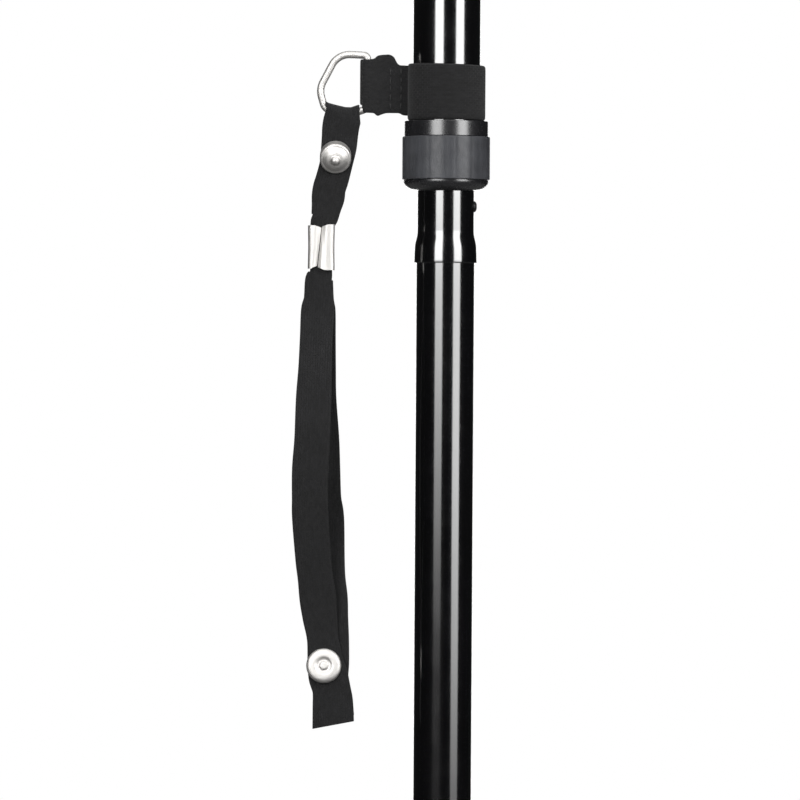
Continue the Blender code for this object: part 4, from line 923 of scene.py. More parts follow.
class BuildCollar(bpy.types.Operator):
    """Makes the lock collar: sleeve, nut and rubber grip ring"""
    bl_idname = "quad_cane.build_collar"
    bl_label = "Lock Collar"

    def execute(self, context):
        sizes = context.scene.cane_sizes
        bore = sizes.inner_radius + 0.3 * MM
        self.build_sleeve(bore)
        self.build_nut(bore)
        self.build_grip_ring(sizes)
        return {'FINISHED'}

    def build_sleeve(self, bore):
        """The flange below the band, and the neck that goes down into the nut."""
        low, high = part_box("collar_sleeve")
        flange_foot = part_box("lock_nut")[1].z + 0.12 * MM
        tube_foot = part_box("handle_tube")[0].z - 0.3 * MM
        neck, tongue, socket = 12.2 * MM, 11.2 * MM, 11.3 * MM
        dress("collar_sleeve", shaft_ring(
            [
                (high.x, high.z, 0.3 * MM), (high.x, flange_foot, 0.1 * MM), (neck, flange_foot),
                (neck, tube_foot, 0.3 * MM), (tongue, tube_foot - 0.8 * MM), (tongue, low.z, 0.3 * MM),
            ],
            [(socket, high.z, 0.3 * MM), (socket, tube_foot), (bore, tube_foot), (bore, low.z, 0.2 * MM)],
            TUBE_SIDES
        ), "gloss_plastic")

    def build_nut(self, bore):
        """The turning nut, with a seat for its grip ring and a rounded foot."""
        low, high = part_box("lock_nut")
        sleeve_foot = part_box("collar_sleeve")[0].z
        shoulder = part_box("nut_grip_ring")[0].z - 0.15 * MM
        seat, thread = 13.1 * MM, 12.5 * MM
        dress("lock_nut", shaft_ring(
            [
                (seat, high.z), (seat, shoulder), (high.x, shoulder, 0.25 * MM),
                (high.x - 0.1 * MM, low.z + 2.1 * MM, 1.4 * MM),
                (high.x - 2.3 * MM, low.z + 0.4 * MM, 0.9 * MM), (bore + 0.2 * MM, low.z, 0.1 * MM),
            ],
            [
                (thread, high.z), (thread, sleeve_foot - 0.1 * MM), (bore, sleeve_foot - 0.3 * MM),
                (bore, low.z, 0.4 * MM),
            ], TUBE_SIDES
        ), "gloss_plastic")

    def build_grip_ring(self, sizes):
        """The rubber ring on the nut, with shallow round-bottomed grooves between its ribs."""
        low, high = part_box("nut_grip_ring")
        per_rib = 8
        sides = max(sizes.ribs, 1) * per_rib
        ribbed = []
        for i in range(sides):
            groove = (0.5 - 0.5 * math.cos(math.tau * i / per_rib)) ** 3
            radius = high.x - sizes.rib_depth * groove
            ribbed.append((radius * math.cos(math.tau * i / sides), radius * math.sin(math.tau * i / sides)))
        hole = circle(0.0, 0.0, 13.15 * MM, 96)
        place = on_shaft(middle_of("nut_grip_ring").z)
        dress("nut_grip_ring", punched([ribbed, hole], high.z - low.z, 0.35 * MM, place), "grey_rubber")


# Handle


def handle_route(sizes):
    """The handle tube's middle line: up the shaft, forward up the neck, then back over the shaft."""
    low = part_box("handle_tube")[0]
    spot = Vector((0.0, SHAFT_Y, low.z))
    heading = math.radians(90)
    route = [spot.copy()]

    def walk(distance, direction):
        spot.x += math.cos(direction) * distance
        spot.z += math.sin(direction) * distance
        route.append(spot.copy())

    for straight, radius, bend in (
        (sizes.neck_start - low.z, sizes.neck_radius, -68.0), (sizes.neck_run, sizes.top_radius, 158.0)
    ):
        for _ in range(8):
            walk(straight / 8, heading)
        steps = round(abs(bend) / 4)
        turn = math.radians(bend) / steps
        for _ in range(steps):
            walk(2 * radius * math.sin(abs(turn) / 2), heading + turn / 2)
            heading += turn
    end = Vector((low.x, SHAFT_Y, spot.z))
    return route + [spot.lerp(end, i / 8) for i in range(1, 9)]


class BuildHandle(bpy.types.Operator):
    """Makes the bent handle tube with its height holes, button, foam grip and end plug"""
    bl_idname = "quad_cane.build_handle"
    bl_label = "Handle"

    def execute(self, context):
        sizes = context.scene.cane_sizes
        route = handle_route(sizes)
        self.build_tube(sizes, route)
        self.build_button()
        self.build_grip(sizes, route[-1].z)
        self.build_plug(route[-1])
        return {'FINISHED'}

    def build_tube(self, sizes, route):
        """The bent tube, with a row of countersunk holes behind."""
        top = middle_of("snap_button").z
        near, rim = sizes.hole_radius, sizes.hole_radius + 0.5 * MM
        holes = []
        for i in range(sizes.holes):
            place = on_shaft(top - i * sizes.hole_pitch, HANDLE_RADIUS / 2) @ TO_BACK
            holes.append(turned([
                (near, 0.0), (near, HANDLE_RADIUS * 0.46), (rim, HANDLE_RADIUS * 0.52), (rim, HANDLE_RADIUS),
            ], place, 64))
        dress("handle_tube", bent_tube(route, HANDLE_RADIUS, sizes.tube_wall, 96), "black_tube", holes)

    def build_button(self):
        """The button and its leaf spring, which is folded like a hairpin in the inner tube."""
        height = middle_of("snap_button").z
        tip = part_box("snap_button")[1].y - SHAFT_Y
        body, collar = 3.8 * MM, 4.7 * MM
        dress("snap_button", turned([
            (1.6 * MM, tip, 0.6 * MM), (3.1 * MM, tip - 0.55 * MM, 0.9 * MM),
            (body, tip - 1.9 * MM, 0.9 * MM), (body, 6.1 * MM), (collar, 6.1 * MM, 0.2 * MM),
            (collar, 5.1 * MM, 0.2 * MM),
        ], on_shaft(height) @ TO_BACK), "bright_steel")
        half = Vector((3.5 * MM, 0.0, 0.0))
        bends = (
            (4.5, 4.5), (4.5, 0.0), (4.5, -4.5), (3.6, -13.5), (1.35, -21.6), (0.0, -24.0), (-1.35, -21.6),
            (-3.6, -12.0), (-6.6, 3.5),
        )
        leaf = [(Vector((0.0, SHAFT_Y + y * MM, height + z * MM)), half, 0.6 * MM) for y, z in bends]
        ends = (0.0, SHAFT_Y, height), (0.0, SHAFT_Y + 4.4 * MM, height)
        bodies = ("upper_section", "button")
        dress_between("button_spring", webbing(leaf, 6), "bright_steel", bodies, *ends)

    def build_grip(self, sizes, axis):
        """The foam grip, slightly thicker at its middle."""
        low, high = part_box("foam_grip")
        place = Matrix.Translation(((low.x + high.x) / 2, SHAFT_Y, axis)) @ ALONG_MINUS_X
        half, full = (high.x - low.x) / 2, (high.z - low.z) / 2
        bore = HANDLE_RADIUS + 0.1 * MM
        edge = full - sizes.foam_crown * 1.3
        shares = [i / 12 - 1 for i in range(25)]
        crown = [(full - sizes.foam_crown * share ** 2, -share * (half - 4.2 * MM)) for share in shares]
        outline = [(bore, half, 0.5 * MM), (edge, half, 4.0 * MM)] + crown
        outline += [(edge, -half, 4.0 * MM), (bore, -half, 0.5 * MM)]
        grip = dress("foam_grip", revolve(eased(outline, 6), 96, place), "foam")

    def build_plug(self, tube_end):
        """The plug in the tube's end, with a slightly domed face and a small dimple in it."""
        low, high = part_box("grip_end_plug")
        wide, shank = (high.z - low.z) / 2, 9.2 * MM
        root = tube_end.x - 0.3 * MM
        face = root - low.x
        place = Matrix.Translation((root, SHAFT_Y, tube_end.z)) @ ALONG_MINUS_X
        dress("grip_end_plug", turned([
            (1.2 * MM, face - 0.35 * MM, 0.2 * MM), (1.5 * MM, face - 0.05 * MM, 0.3 * MM),
            (wide * 0.66, face, 2.0 * MM), (wide * 0.93, face - 0.9 * MM, 1.2 * MM),
            (wide, face - 2.1 * MM, 0.8 * MM), (wide, 0.1 * MM, 0.3 * MM), (shank, 0.1 * MM),
            (shank, -13.6 * MM, 1.2 * MM),
        ], place, 96), "dark_plastic")


# Strap band, loop and ring

# The band's strip in degrees: where it starts, how far it goes, and where its end climbs on its start
BAND_START = 95.0
BAND_TURN = 402.0
BAND_LAP = (330.0, 360.0)


def band_path(sizes, degrees_from_start, lift=0.0):
    """Point and outward direction on the band's middle at an angle from where its strip starts."""
    lap = eased_share(part_way(degrees_from_start, *BAND_LAP)) * (sizes.band_thickness + 0.1 * MM)
    radius = HANDLE_RADIUS + 0.15 * MM + sizes.band_thickness / 2 + lap + lift
    angle = math.radians(BAND_START + degrees_from_start)
    outward = Vector((math.cos(angle), math.sin(angle), 0.0))
    return outward * radius + Vector((0.0, SHAFT_Y, 0.0)), outward


def ring_bar():
    """The middle of the ring's straight bar."""
    low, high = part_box("d_ring")
    return Vector((high.x - WIRE, SHAFT_Y, low.z + WIRE + 10.0 * MM))


def ring_route():
    """Middle line of the ring's wire, once round from the joint in its bar."""
    bar = ring_bar()
    corners = [bar] + [bar + Vector((x, 0.0, z)) * MM for x, z, _ in RING_CORNERS] + [bar]
    return rounded_route(corners, [radius * MM for _, _, radius in RING_CORNERS])


def lower_wire():
    """Places and heights along the ring's lower wire, from left to right."""
    bar = ring_bar()
    return sorted((spot.x, spot.z) for spot in ring_route() if spot.z < bar.z - 4.0 * MM)


def wire_height(spots, x):
    """Height of the ring's lower wire at a place across it."""
    for (left, low), (right, high) in zip(spots, spots[1:]):
        if x <= right:
            return low + (high - low) * max(x - left, 0.0) / max(right - left, 1e-9)
    return spots[-1][1]


class BuildBand(bpy.types.Operator):
    """Makes the sewn band round the handle tube, the loop on it and the D ring"""
    bl_idname = "quad_cane.build_band"
    bl_label = "Strap Band"

    def execute(self, context):
        sizes = context.scene.cane_sizes
        self.build_band(sizes)
        self.sew_band(sizes)
        self.build_loop(sizes)
        self.build_ring()
        return {'FINISHED'}

    def build_band(self, sizes):
        """The strip round the tube. Its top edge sags a little, but not beside the loop."""
        low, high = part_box("strap_band")
        middle = middle_of("strap_band").z
        half = (high.z - low.z) / 2
        stations = []
        for i in range(81):
            place, outward = band_path(sizes, BAND_TURN * i / 80)
            sag = 0.3 * MM * (1.0 + outward.x) / 2
            centre = place + Vector((0.0, 0.0, middle - sag))
            stations.append((centre, Vector((0.0, 0.0, half - sag)), sizes.band_thickness))
        dress("strap_band", webbing(sealed(stations), 2), "webbing")

    def sew_band(self, sizes):
        """A box of stitches with a cross in it, through the lapped end of the band."""
        low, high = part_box("strap_band")
        middle = middle_of("strap_band").z
        shape = bmesh.new()

        def spot(degrees, height):
            place, outward = band_path(sizes, degrees, sizes.band_thickness / 2)
            return place + Vector((0.0, 0.0, middle + height)), outward

        left, right, top = 366.0, 397.0, (high.z - low.z) / 2 - 2.4 * MM
        corners = ((left, -top), (right, -top), (right, top), (left, top), (left, -top), (right, top))
        lines = list(zip(corners, corners[1:])) + [((right, -top), (left, top))]
        for (a, foot), (b, head) in lines:
            shares = [i / 12 for i in range(13)]
            path = [spot(a + (b - a) * share, foot + (head - foot) * share) for share in shares]
            stitches(shape, path, sizes)
        sew_on("band_seam", shape, BODY_OF["strap_band"])

    def build_loop(self, sizes):
        """The doubled piece that holds the ring's bar: along the front, round the bar and back again."""
        thick = sizes.strap_thickness
        layer = 0.08 * MM + thick / 2
        fold = 1.35 * MM + thick / 2
        run = []
        for reach, top, bottom in LOOP_OUTLINE:
            depth = layer + (fold - layer) * part_way(reach, 20.5, 24.3) ** 2 * 0.75
            run.append((-reach * MM, depth, UPPER_LIP + (top + bottom) / 2 * MM, (top - bottom) / 2 * MM))
        bar = ring_bar()
        bends = []
        for i in range(13):
            turn = -75.0 - 210.0 * i / 12
            angle = math.radians(turn)
            # The ring's wire leaves through a notch in the bend.
            foot = -6.4 if abs(turn + 180.0) < 45.0 else -8.9
            bends.append((
                bar.x + fold * math.cos(angle), fold * math.sin(angle), bar.z + (8.5 + foot) / 2 * MM,
                (8.5 - foot) / 2 * MM
            ))
        front = [(x, -y, z, half) for x, y, z, half in run]
        stations = [
            (Vector((x, SHAFT_Y + y, z)), Vector((0.0, 0.0, half)), thick)
            for x, y, z, half in front + bends + list(reversed(run))
        ]
        dress("ring_loop", webbing(stations, 3), "webbing")
        shape = bmesh.new()
        heights = [UPPER_LIP + (49.9 + 13.9 * i / 8) * MM for i in range(9)]
        for side in (-1, 1):
            outward = Vector((0.0, side, 0.0))
            proud = SHAFT_Y + side * (layer + thick / 2)
            for reach in (14.9, 18.4):
                path = [(Vector((-reach * MM, proud, height)), outward) for height in heights]
                stitches(shape, path, sizes)
        sew_on("loop_seam", shape, BODY_OF["ring_loop"])

    def build_ring(self):
        """The bent wire ring, with the butt joint of its ends in the bar."""
        route = ring_route()
        frames = frames_along(route[:-1])
        gap = 0.25 * MM
        stops = [(frames[0], WIRE * 0.93, 0.0), (frames[0], WIRE, gap)]
        stops += [(place, WIRE, 0.0) for place in frames[1:]]
        stops += [(Matrix.Translation(route[-1]) @ frames[0].to_3x3().to_4x4(), WIRE, -gap)]
        dress("d_ring", hoops(stops, 24, closed=True), "nickel")


# Wrist strap

# A snap's front from its stud out to the rim as (radius, height, rounding) in mm. The lower one is flatter.
UPPER_SNAP = (
    (0.45, 5.9, 0.3), (1.2, 5.5, 0.7), (1.6, 4.7, 0.3), (2.8, 4.4, 1.0), (4.3, 3.2, 1.4), (4.6, 3.2, 0.2),
    (5.15, 2.8, 0.4), (5.15, -0.6, 0.3),
)
LOWER_SNAP = (
    (0.7, 1.3, 0.3), (1.3, 1.2, 0.3), (1.5, 0.85, 0.2), (2.1, 0.85, 0.3), (2.9, 1.35, 0.6), (4.9, 1.25, 0.8),
    (5.75, 0.5, 0.5), (5.75, -0.5, 0.2),
)


def strap_seat():
    """Where the wrist strap bears on the ring."""
    across, up = STRAP_SEAT
    return ring_bar() + Vector((across, 0.0, up)) * MM


def layer_depth(drop, sizes):
    """How far a run's middle lies from the strap's own plane, and its thickness there."""
    start, end = CRIMP_SPAN
    squeeze = part_way(drop, start - 4.0, start) * part_way(drop, end + 4.0, end)
    thick = sizes.strap_thickness + (0.88 * MM - sizes.strap_thickness) * squeeze
    closed = 0.06 * MM + thick / 2
    if drop < 10.0:
        fold = 1.25 * MM + thick / 2
        return fold + (closed - fold) * eased_share(drop / 10.0), thick
    opening = sizes.strap_opening * math.sin(math.pi * part_way(drop, *STRAP_OPENS)) ** 2
    return closed + opening, thick


def hanging_run(side, tail_drop, sizes):
    """Stations of one run from the ring down: side -1 is the front run, +1 the back one."""
    seat = strap_seat()
    first = 1 if side < 0 else 3
    rows = [(row[0], row[first], row[first + 1]) for row in STRAP_ROUTE + ((tail_drop,) + TAIL_EDGES,)]
    spots = []
    for drop, left, right in smoothed(rows, 4):
        depth, thick = layer_depth(drop, sizes)
        place = seat + Vector(((left + right) / 2 * MM, side * depth, -drop * MM))
        spots.append((place, (right - left) * MM, thick))
    stations = []
    for i, (spot, width, thick) in enumerate(spots):
        ahead = spots[min(i + 1, len(spots) - 1)][0] - spots[max(i - 1, 0)][0]
        across = Vector((-ahead.z, 0.0, ahead.x)).normalized()
        stations.append((spot, across * width / 2, thick))
    return stations


def clamp_section(seam, sides):
    """The clamp's outer line seen from above, in mm: from its seam in front once round and back to it."""
    front, back, half, squareness, valley = 2.5, 2.2, 4.4, 0.45, 1.9
    line = []
    for k in range(sides + 1):
        angle = math.radians(360.0 * k / sides - 90.0)
        x, y = (math.copysign(abs(v) ** squareness, v) for v in (math.cos(angle), math.sin(angle)))
        x *= half
        y *= back if y > 0 else front
        if y < 0:
            y += (1.0 - min(abs(x - seam) / valley, 1.0)) ** 2
        line.append(Vector((x, y)))
    right = [p for p in line[:sides // 2 + 1] if p.y > 0 or p.x > seam + 0.16]
    left = [p for p in line[sides // 2:] if p.y > 0 or p.x < seam - 0.16]
    edges = [Vector((seam + side * 0.12, 0.95 - front)) for side in (1, -1)]
    line = edges[:1] + right + left + edges[1:]
    travelled = distances(line)
    even = []
    for i in range(sides + 1):
        k, share = stretch_at(travelled, travelled[-1] * i / sides)
        even.append(line[k].lerp(line[k + 1], share))
    return even


class BuildWristStrap(bpy.types.Operator):
    """Makes the wrist strap with its metal clamp and two snaps"""
    bl_idname = "quad_cane.build_wrist_strap"
    bl_label = "Wrist Strap"

    def execute(self, context):
        sizes = context.scene.cane_sizes
        seat = strap_seat()
        self.build_strap(sizes, seat)
        self.build_clamp(seat)
        self.build_snap("upper", seat + Vector((-2.5, 0.0, -14.1)) * MM, -22.0, UPPER_SNAP)
        self.build_snap("lower", seat + Vector((-5.3, 0.0, -181.6)) * MM, 7.0, LOWER_SNAP)
        return {'FINISHED'}

    def build_strap(self, sizes, seat):
        """One strip: up the front run, over the ring's wire and down the back run."""
        wire = lower_wire()
        top = Vector((seat.x - 0.35 * MM, SHAFT_Y, wire_height(wire, seat.x)))
        across = Vector((5.55 * MM, 0.0, 0.0))
        radius, thick = layer_depth(0.0, sizes)
        fold = []
        for i in range(17):
            angle = math.radians(180.0 * i / 16 - 90.0)
            fold.append((top + Vector((0.0, math.sin(angle), math.cos(angle))) * radius, across, thick))
        front, back = (hanging_run(side, drop, sizes) for side, drop in zip((-1, 1), TAIL_DROPS))
        shape = webbing(sealed(list(reversed(front)) + fold + back), 2)
        tail = seat.z - 188.0 * MM
        for corner in shape.verts:
            # The fold lies along the wire, the webbing evens out below it, and the tails are cut aslant.
            x, z = corner.co.x, corner.co.z
            share = part_way(z, top.z - 7.0 * MM, top.z) ** 2
            slant = 0.17 * part_way(z, tail, tail - 8.0 * MM)
            corner.co.z += (wire_height(wire, x) - top.z) * share + (x - seat.x + 2.0 * MM) * slant
        dress("wrist_strap", shape, "webbing")

    def build_clamp(self, seat):
        """Sheet metal rolled in from both sides, so that its edges meet in a valley in front."""
        rows, sides, wall = 20, 72, 0.5
        shape = bmesh.new()
        rings = []
        for row in range(rows + 1):
            share = row / rows
            seam = 0.1 - 1.3 * share
            outer = clamp_section(seam, sides)
            inner = []
            for i, point in enumerate(outer):
                along = outer[min(i + 1, sides)] - outer[max(i - 1, 0)]
                inner.append(point + Vector((-along.y, along.x)).normalized() * wall)
            pinch = 1.0 - 0.025 * math.sin(math.pi * share) ** 2
            ring = []
            for point in outer + list(reversed(inner)):
                # Its ends aren't cut straight: they dip at the seam, and each side by its own amount.
                bulge = min(abs(point.x - seam) / 2.2, 1.0) if point.y < 0 else 0.8
                rise, fall = (0.25, 0.45) if point.x > seam else (-0.1, 0.0)
                top = CRIMP_SPAN[0] + 0.5 - 0.75 * bulge - rise
                bottom = CRIMP_SPAN[1] - 0.8 + bulge + fall
                spot = (point.x * pinch - 7.0, point.y, -(top + (bottom - top) * share))
                ring.append(shape.verts.new(seat + Vector(spot) * MM))
            rings.append(ring)
        for first, second in zip(rings, rings[1:]):
            bridge(shape, first, second)
        count = len(rings[0])
        for ring in (rings[0], rings[-1]):
            for i in range(count // 2 - 1):
                shape.faces.new((ring[i], ring[i + 1], ring[count - 2 - i], ring[count - 1 - i]))
        dress("strap_crimp", shape, "nickel")

    def build_snap(self, label, centre, tilt, profile):
        """A ring snap: stud, dome or flat ring and rim in front, tilted a little, and a low cap behind."""
        face = 1.25 * MM
        front = [(radius * MM, face + height * MM, size * MM) for radius, height, size in profile]
        front += [(1.45 * MM, front[-1][1]), (1.45 * MM, -face)]
        place = Matrix.Translation(centre)
        lean = Matrix.Rotation(math.radians(-tilt), 4, 'X')
        dress(label + "_snap", turned(front, place @ lean @ TO_FRONT, 64), "nickel")
        cap = 5.0 * MM
        dress(label + "_snap_back", turned([
            (cap * 0.35, face + 1.44 * MM, 0.8 * MM), (cap * 0.76, face + 1.15 * MM, 1.0 * MM),
            (cap, face + 0.45 * MM, 0.5 * MM), (cap, face - 0.05 * MM, 0.1 * MM),
        ], place @ TO_BACK, 64), "nickel")


# Base

SOCKET_RADIUS = 12.5 * MM


class BuildBase(bpy.types.Operator):
    """Makes the legs, plate, shaft socket, bolt, nut and rivets"""
    bl_idname = "quad_cane.build_base"
    bl_label = "Base"

    def execute(self, context):
        self.build_leg(context.scene.cane_sizes, -1, "left")
        self.build_leg(context.scene.cane_sizes, 1, "right")
        self.build_plate()
        self.build_socket()
        self.build_bolt()
        return {'FINISHED'}

    def build_leg(self, sizes, side, label):
        """One bent tube that makes a front leg and a rear leg, and passes under the plate between them."""
        radius, knee = 8.0 * MM, 46.0 * MM
        front, rear = (middle_of(f"rubber_tip_{end}_{label}") for end in ("front", "rear"))
        low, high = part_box(f"leg_tube_{label}")
        inward, top = side * 24.0 * MM, high.z - radius
        corners = [
            (front.x, front.y, low.z), (front.x, front.y, knee), (inward, SHAFT_Y - 28.0 * MM, top),
            (inward, SHAFT_Y + 30.0 * MM, top), (front.x, rear.y, knee), (front.x, rear.y, low.z),
        ]
        route = rounded_route(corners, [18.0 * MM] * 4)
        dress(f"leg_tube_{label}", bent_tube(route, radius, sizes.tube_wall, 64), "black_tube")

    def build_plate(self):
        """The plate with its round corners, and the rivets that hold it on the legs."""
        low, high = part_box("base_plate")
        corner = 8.0 * MM
        half_x, half_y = (high.x - low.x) / 2 - corner, (high.y - low.y) / 2 - corner
        outline = []
        for x, y, start in (
            (half_x, half_y, 0), (-half_x, half_y, 90), (-half_x, -half_y, 180), (half_x, -half_y, 270),
        ):
            for i in range(13):
                angle = math.radians(start + 90 * i / 12)
                outline.append((x + corner * math.cos(angle), y + corner * math.sin(angle)))
        holes = []
        head, shank, foot = 4.8 * MM, 2.4 * MM, high.z
        for node in [f"plate_rivet_{end}_{side}" for end in ("front", "rear") for side in ("left", "right")]:
            rivet_low, rivet_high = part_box(node)
            spot = middle_of(node)
            holes.append(circle(spot.x, spot.y - SHAFT_Y, 2.6 * MM, 32))
            dress(node, turned([
                (1.3 * MM, rivet_high.z, 0.9 * MM), (3.7 * MM, rivet_high.z - 0.6 * MM, 1.4 * MM),
                (head, foot + 0.5 * MM, 0.6 * MM), (head, foot, 0.1 * MM), (shank, foot),
                (shank, rivet_low.z, 0.4 * MM),
            ], Matrix.Translation((spot.x, spot.y, 0.0))), "bright_steel")
        place = on_shaft(middle_of("base_plate").z)
        dress("base_plate", punched([outline] + holes, high.z - low.z, 0.6 * MM, place), "black_steel")

    def build_socket(self):
        """The socket for the shaft, with a fillet down to its flange."""
        low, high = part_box("shaft_socket")
        wide = (high.x - low.x) / 2
        bore = SHAFT_RADIUS + 0.2 * MM
        dress("shaft_socket", shaft_ring(
            [
                (SOCKET_RADIUS, high.z, 0.7 * MM), (SOCKET_RADIUS, low.z + 5.2 * MM, 1.0 * MM),
                (SOCKET_RADIUS + 1.3 * MM, low.z + 3.0 * MM, 1.2 * MM), (wide, low.z + 3.0 * MM, 0.6 * MM),
                (wide, low.z, 0.3 * MM),
            ],
            [(bore, high.z, 0.5 * MM), (bore, low.z)], TUBE_SIDES
        ), "black_steel")

    def build_bolt(self):
        """The bolt through the socket, with a hexagon key hole, and its nut."""
        low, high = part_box("socket_bolt")
        place = on_shaft(middle_of("socket_bolt").z) @ ALONG_X
        seat, shank = SOCKET_RADIUS + 0.05 * MM, 2.4 * MM
        key = rod(2.0 * MM, high.x - 1.7 * MM, high.x + 1.0 * MM, 6, place)
        dress("socket_bolt", turned([
            (2.7 * MM, high.x, 0.4 * MM), (4.0 * MM, high.x - 0.7 * MM, 0.7 * MM),
            (4.5 * MM, SOCKET_RADIUS + 0.9 * MM, 0.5 * MM), (4.5 * MM, seat, 0.15 * MM), (shank, seat),
            (shank, low.x, 0.5 * MM),
        ], place), "bright_steel", [key])
        low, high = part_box("socket_nut")
        wide = max(high.y - low.y, high.z - low.z) / 2
        chamfer, bore, outer = 0.5 * MM, 2.7 * MM, high.x + 0.2 * MM
        dress("socket_nut", revolve(eased([
            (bore, low.x, 0.3 * MM), (wide - chamfer, low.x), (wide, low.x + chamfer),
            (wide, high.x - chamfer), (wide - chamfer, outer), (bore, outer, 0.3 * MM),
        ]), 6, place), "bright_steel")


class BuildTips(bpy.types.Operator):
    """Makes the four rubber tips with their tread"""
    bl_idname = "quad_cane.build_tips"
    bl_label = "Rubber Tips"

    def execute(self, context):
        groove = context.scene.cane_sizes.tread_depth
        for label in ("front_left", "rear_left", "front_right", "rear_right"):
            self.build_tip(f"rubber_tip_{label}", groove)
        return {'FINISHED'}

    def build_tip(self, node, groove):
        """A bell with a beaded neck, two grooves round its foot and four in its sole."""
        low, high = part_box(node)
        wide, bore, neck, floor = (high.x - low.x) / 2, 8.1 * MM, 11.2 * MM, 8.2 * MM
        outline = [
            (0.0, floor), (bore, floor), (bore, high.z, 0.4 * MM), (neck - 0.6 * MM, high.z, 0.5 * MM),
            (neck, high.z - 1.2 * MM, 0.5 * MM), (neck, high.z - 3.2 * MM, 0.3 * MM),
            (neck - 0.5 * MM, high.z - 3.8 * MM, 0.3 * MM), (neck - 0.5 * MM, high.z - 6.4 * MM, 2.0 * MM),
            (neck + 1.0 * MM, 18.0 * MM, 4.0 * MM), (wide - 1.0 * MM, 9.8 * MM, 1.8 * MM),
            (wide, 6.6 * MM, 1.0 * MM),
        ]
        for foot in (5.0 * MM, 2.9 * MM):
            outline += [
                (wide, foot, 0.25 * MM), (wide - groove, foot - 0.35 * MM, 0.2 * MM),
                (wide - groove, foot - 0.95 * MM, 0.2 * MM), (wide, foot - 1.3 * MM, 0.25 * MM),
            ]
        outline += [(wide, 0.8 * MM, 0.4 * MM), (wide - 1.2 * MM, 0.0, 0.4 * MM)]
        for reach in (12.6 * MM, 9.6 * MM, 6.6 * MM, 3.6 * MM):
            outline += [
                (reach, 0.0, 0.2 * MM), (reach - 0.4 * MM, groove * 1.6, 0.2 * MM),
                (reach - 1.4 * MM, groove * 1.6, 0.2 * MM), (reach - 1.8 * MM, 0.0, 0.2 * MM),
            ]
        spot = middle_of(node)
        path = eased(outline + [(0.0, 0.0)], 3)
        place = Matrix.Translation((spot.x, spot.y, 0.0))
        dress(node, revolve(path, 72, place, closed=False), "black_rubber")


# Studio

# How bright each tall lamp is at a height, as a share of its full strength
LEFT_LEVELS = (
    (0.05, 0.01), (0.2, 0.004), (0.27, 0.0), (0.324, 0.007), (0.344, 0.012), (0.364, 0.055), (0.405, 0.116),
    (0.445, 0.182), (0.475, 0.25), (0.5, 0.225), (0.511, 0.27), (0.53, 0.41), (0.55, 0.46), (0.6, 0.56),
)
RIGHT_LEVELS = (
    (0.05, 0.02), (0.2, 0.03), (0.248, 0.063), (0.303, 0.14), (0.344, 0.216), (0.364, 0.22), (0.384, 0.24),
    (0.425, 0.31), (0.481, 0.295), (0.505, 0.26), (0.53, 0.435), (0.55, 0.455), (0.6, 0.55),
)
# Half the angle that each tall lamp fills, seen from the shaft
LAMP_HALF_ANGLE = math.radians(14.5)

# The camera: distance in front of the shaft, place, roll, and how much of the cane it takes in, in metres
CAMERA_DISTANCE = 2.2
CAMERA_X = -0.0146
CAMERA_Z = 0.44512
CAMERA_ROLL = math.radians(-0.367)
VIEW_WIDTH = 0.26208


def glowing_panel(name, width, bottom, top, power, place, levels=None):
    """A lamp face, unseen by the camera. Its levels are pairs of a height and a share of its power."""
    shape = bmesh.new()
    corners = [(-width / 2, bottom), (width / 2, bottom), (width / 2, top), (-width / 2, top)]
    shape.faces.new([shape.verts.new((x, 0.0, z)) for x, z in corners])
    glow = bpy.data.materials.new(name + "_glow")
    glow.use_nodes = True
    glow.node_tree.nodes.clear()
    level = power
    if levels:
        where = add_node(glow, "ShaderNodeTexCoord").outputs["Object"]
        height = add_node(glow, "ShaderNodeSeparateXYZ", {0: where}).outputs["Z"]
        ramp = add_node(glow, "ShaderNodeValToRGB", {0: height})
        stops = ramp.color_ramp.elements
        while len(stops) < len(levels):
            stops.new(1.0)
        for stop, (place_up, share) in zip(stops, levels):
            stop.position = place_up
            stop.color = (share, share, share, 1.0)
        level = add_node(
            glow, "ShaderNodeMath", {0: ramp.outputs[0], 1: power}, operation='MULTIPLY'
        ).outputs[0]
    emission = add_node(glow, "ShaderNodeEmission", {"Strength": level})
    add_node(glow, "ShaderNodeOutputMaterial", {"Surface": emission.outputs[0]})
    panel = new_object(name, shape, glow)
    panel.matrix_world = place
    panel.visible_camera = False
    panel.visible_shadow = False


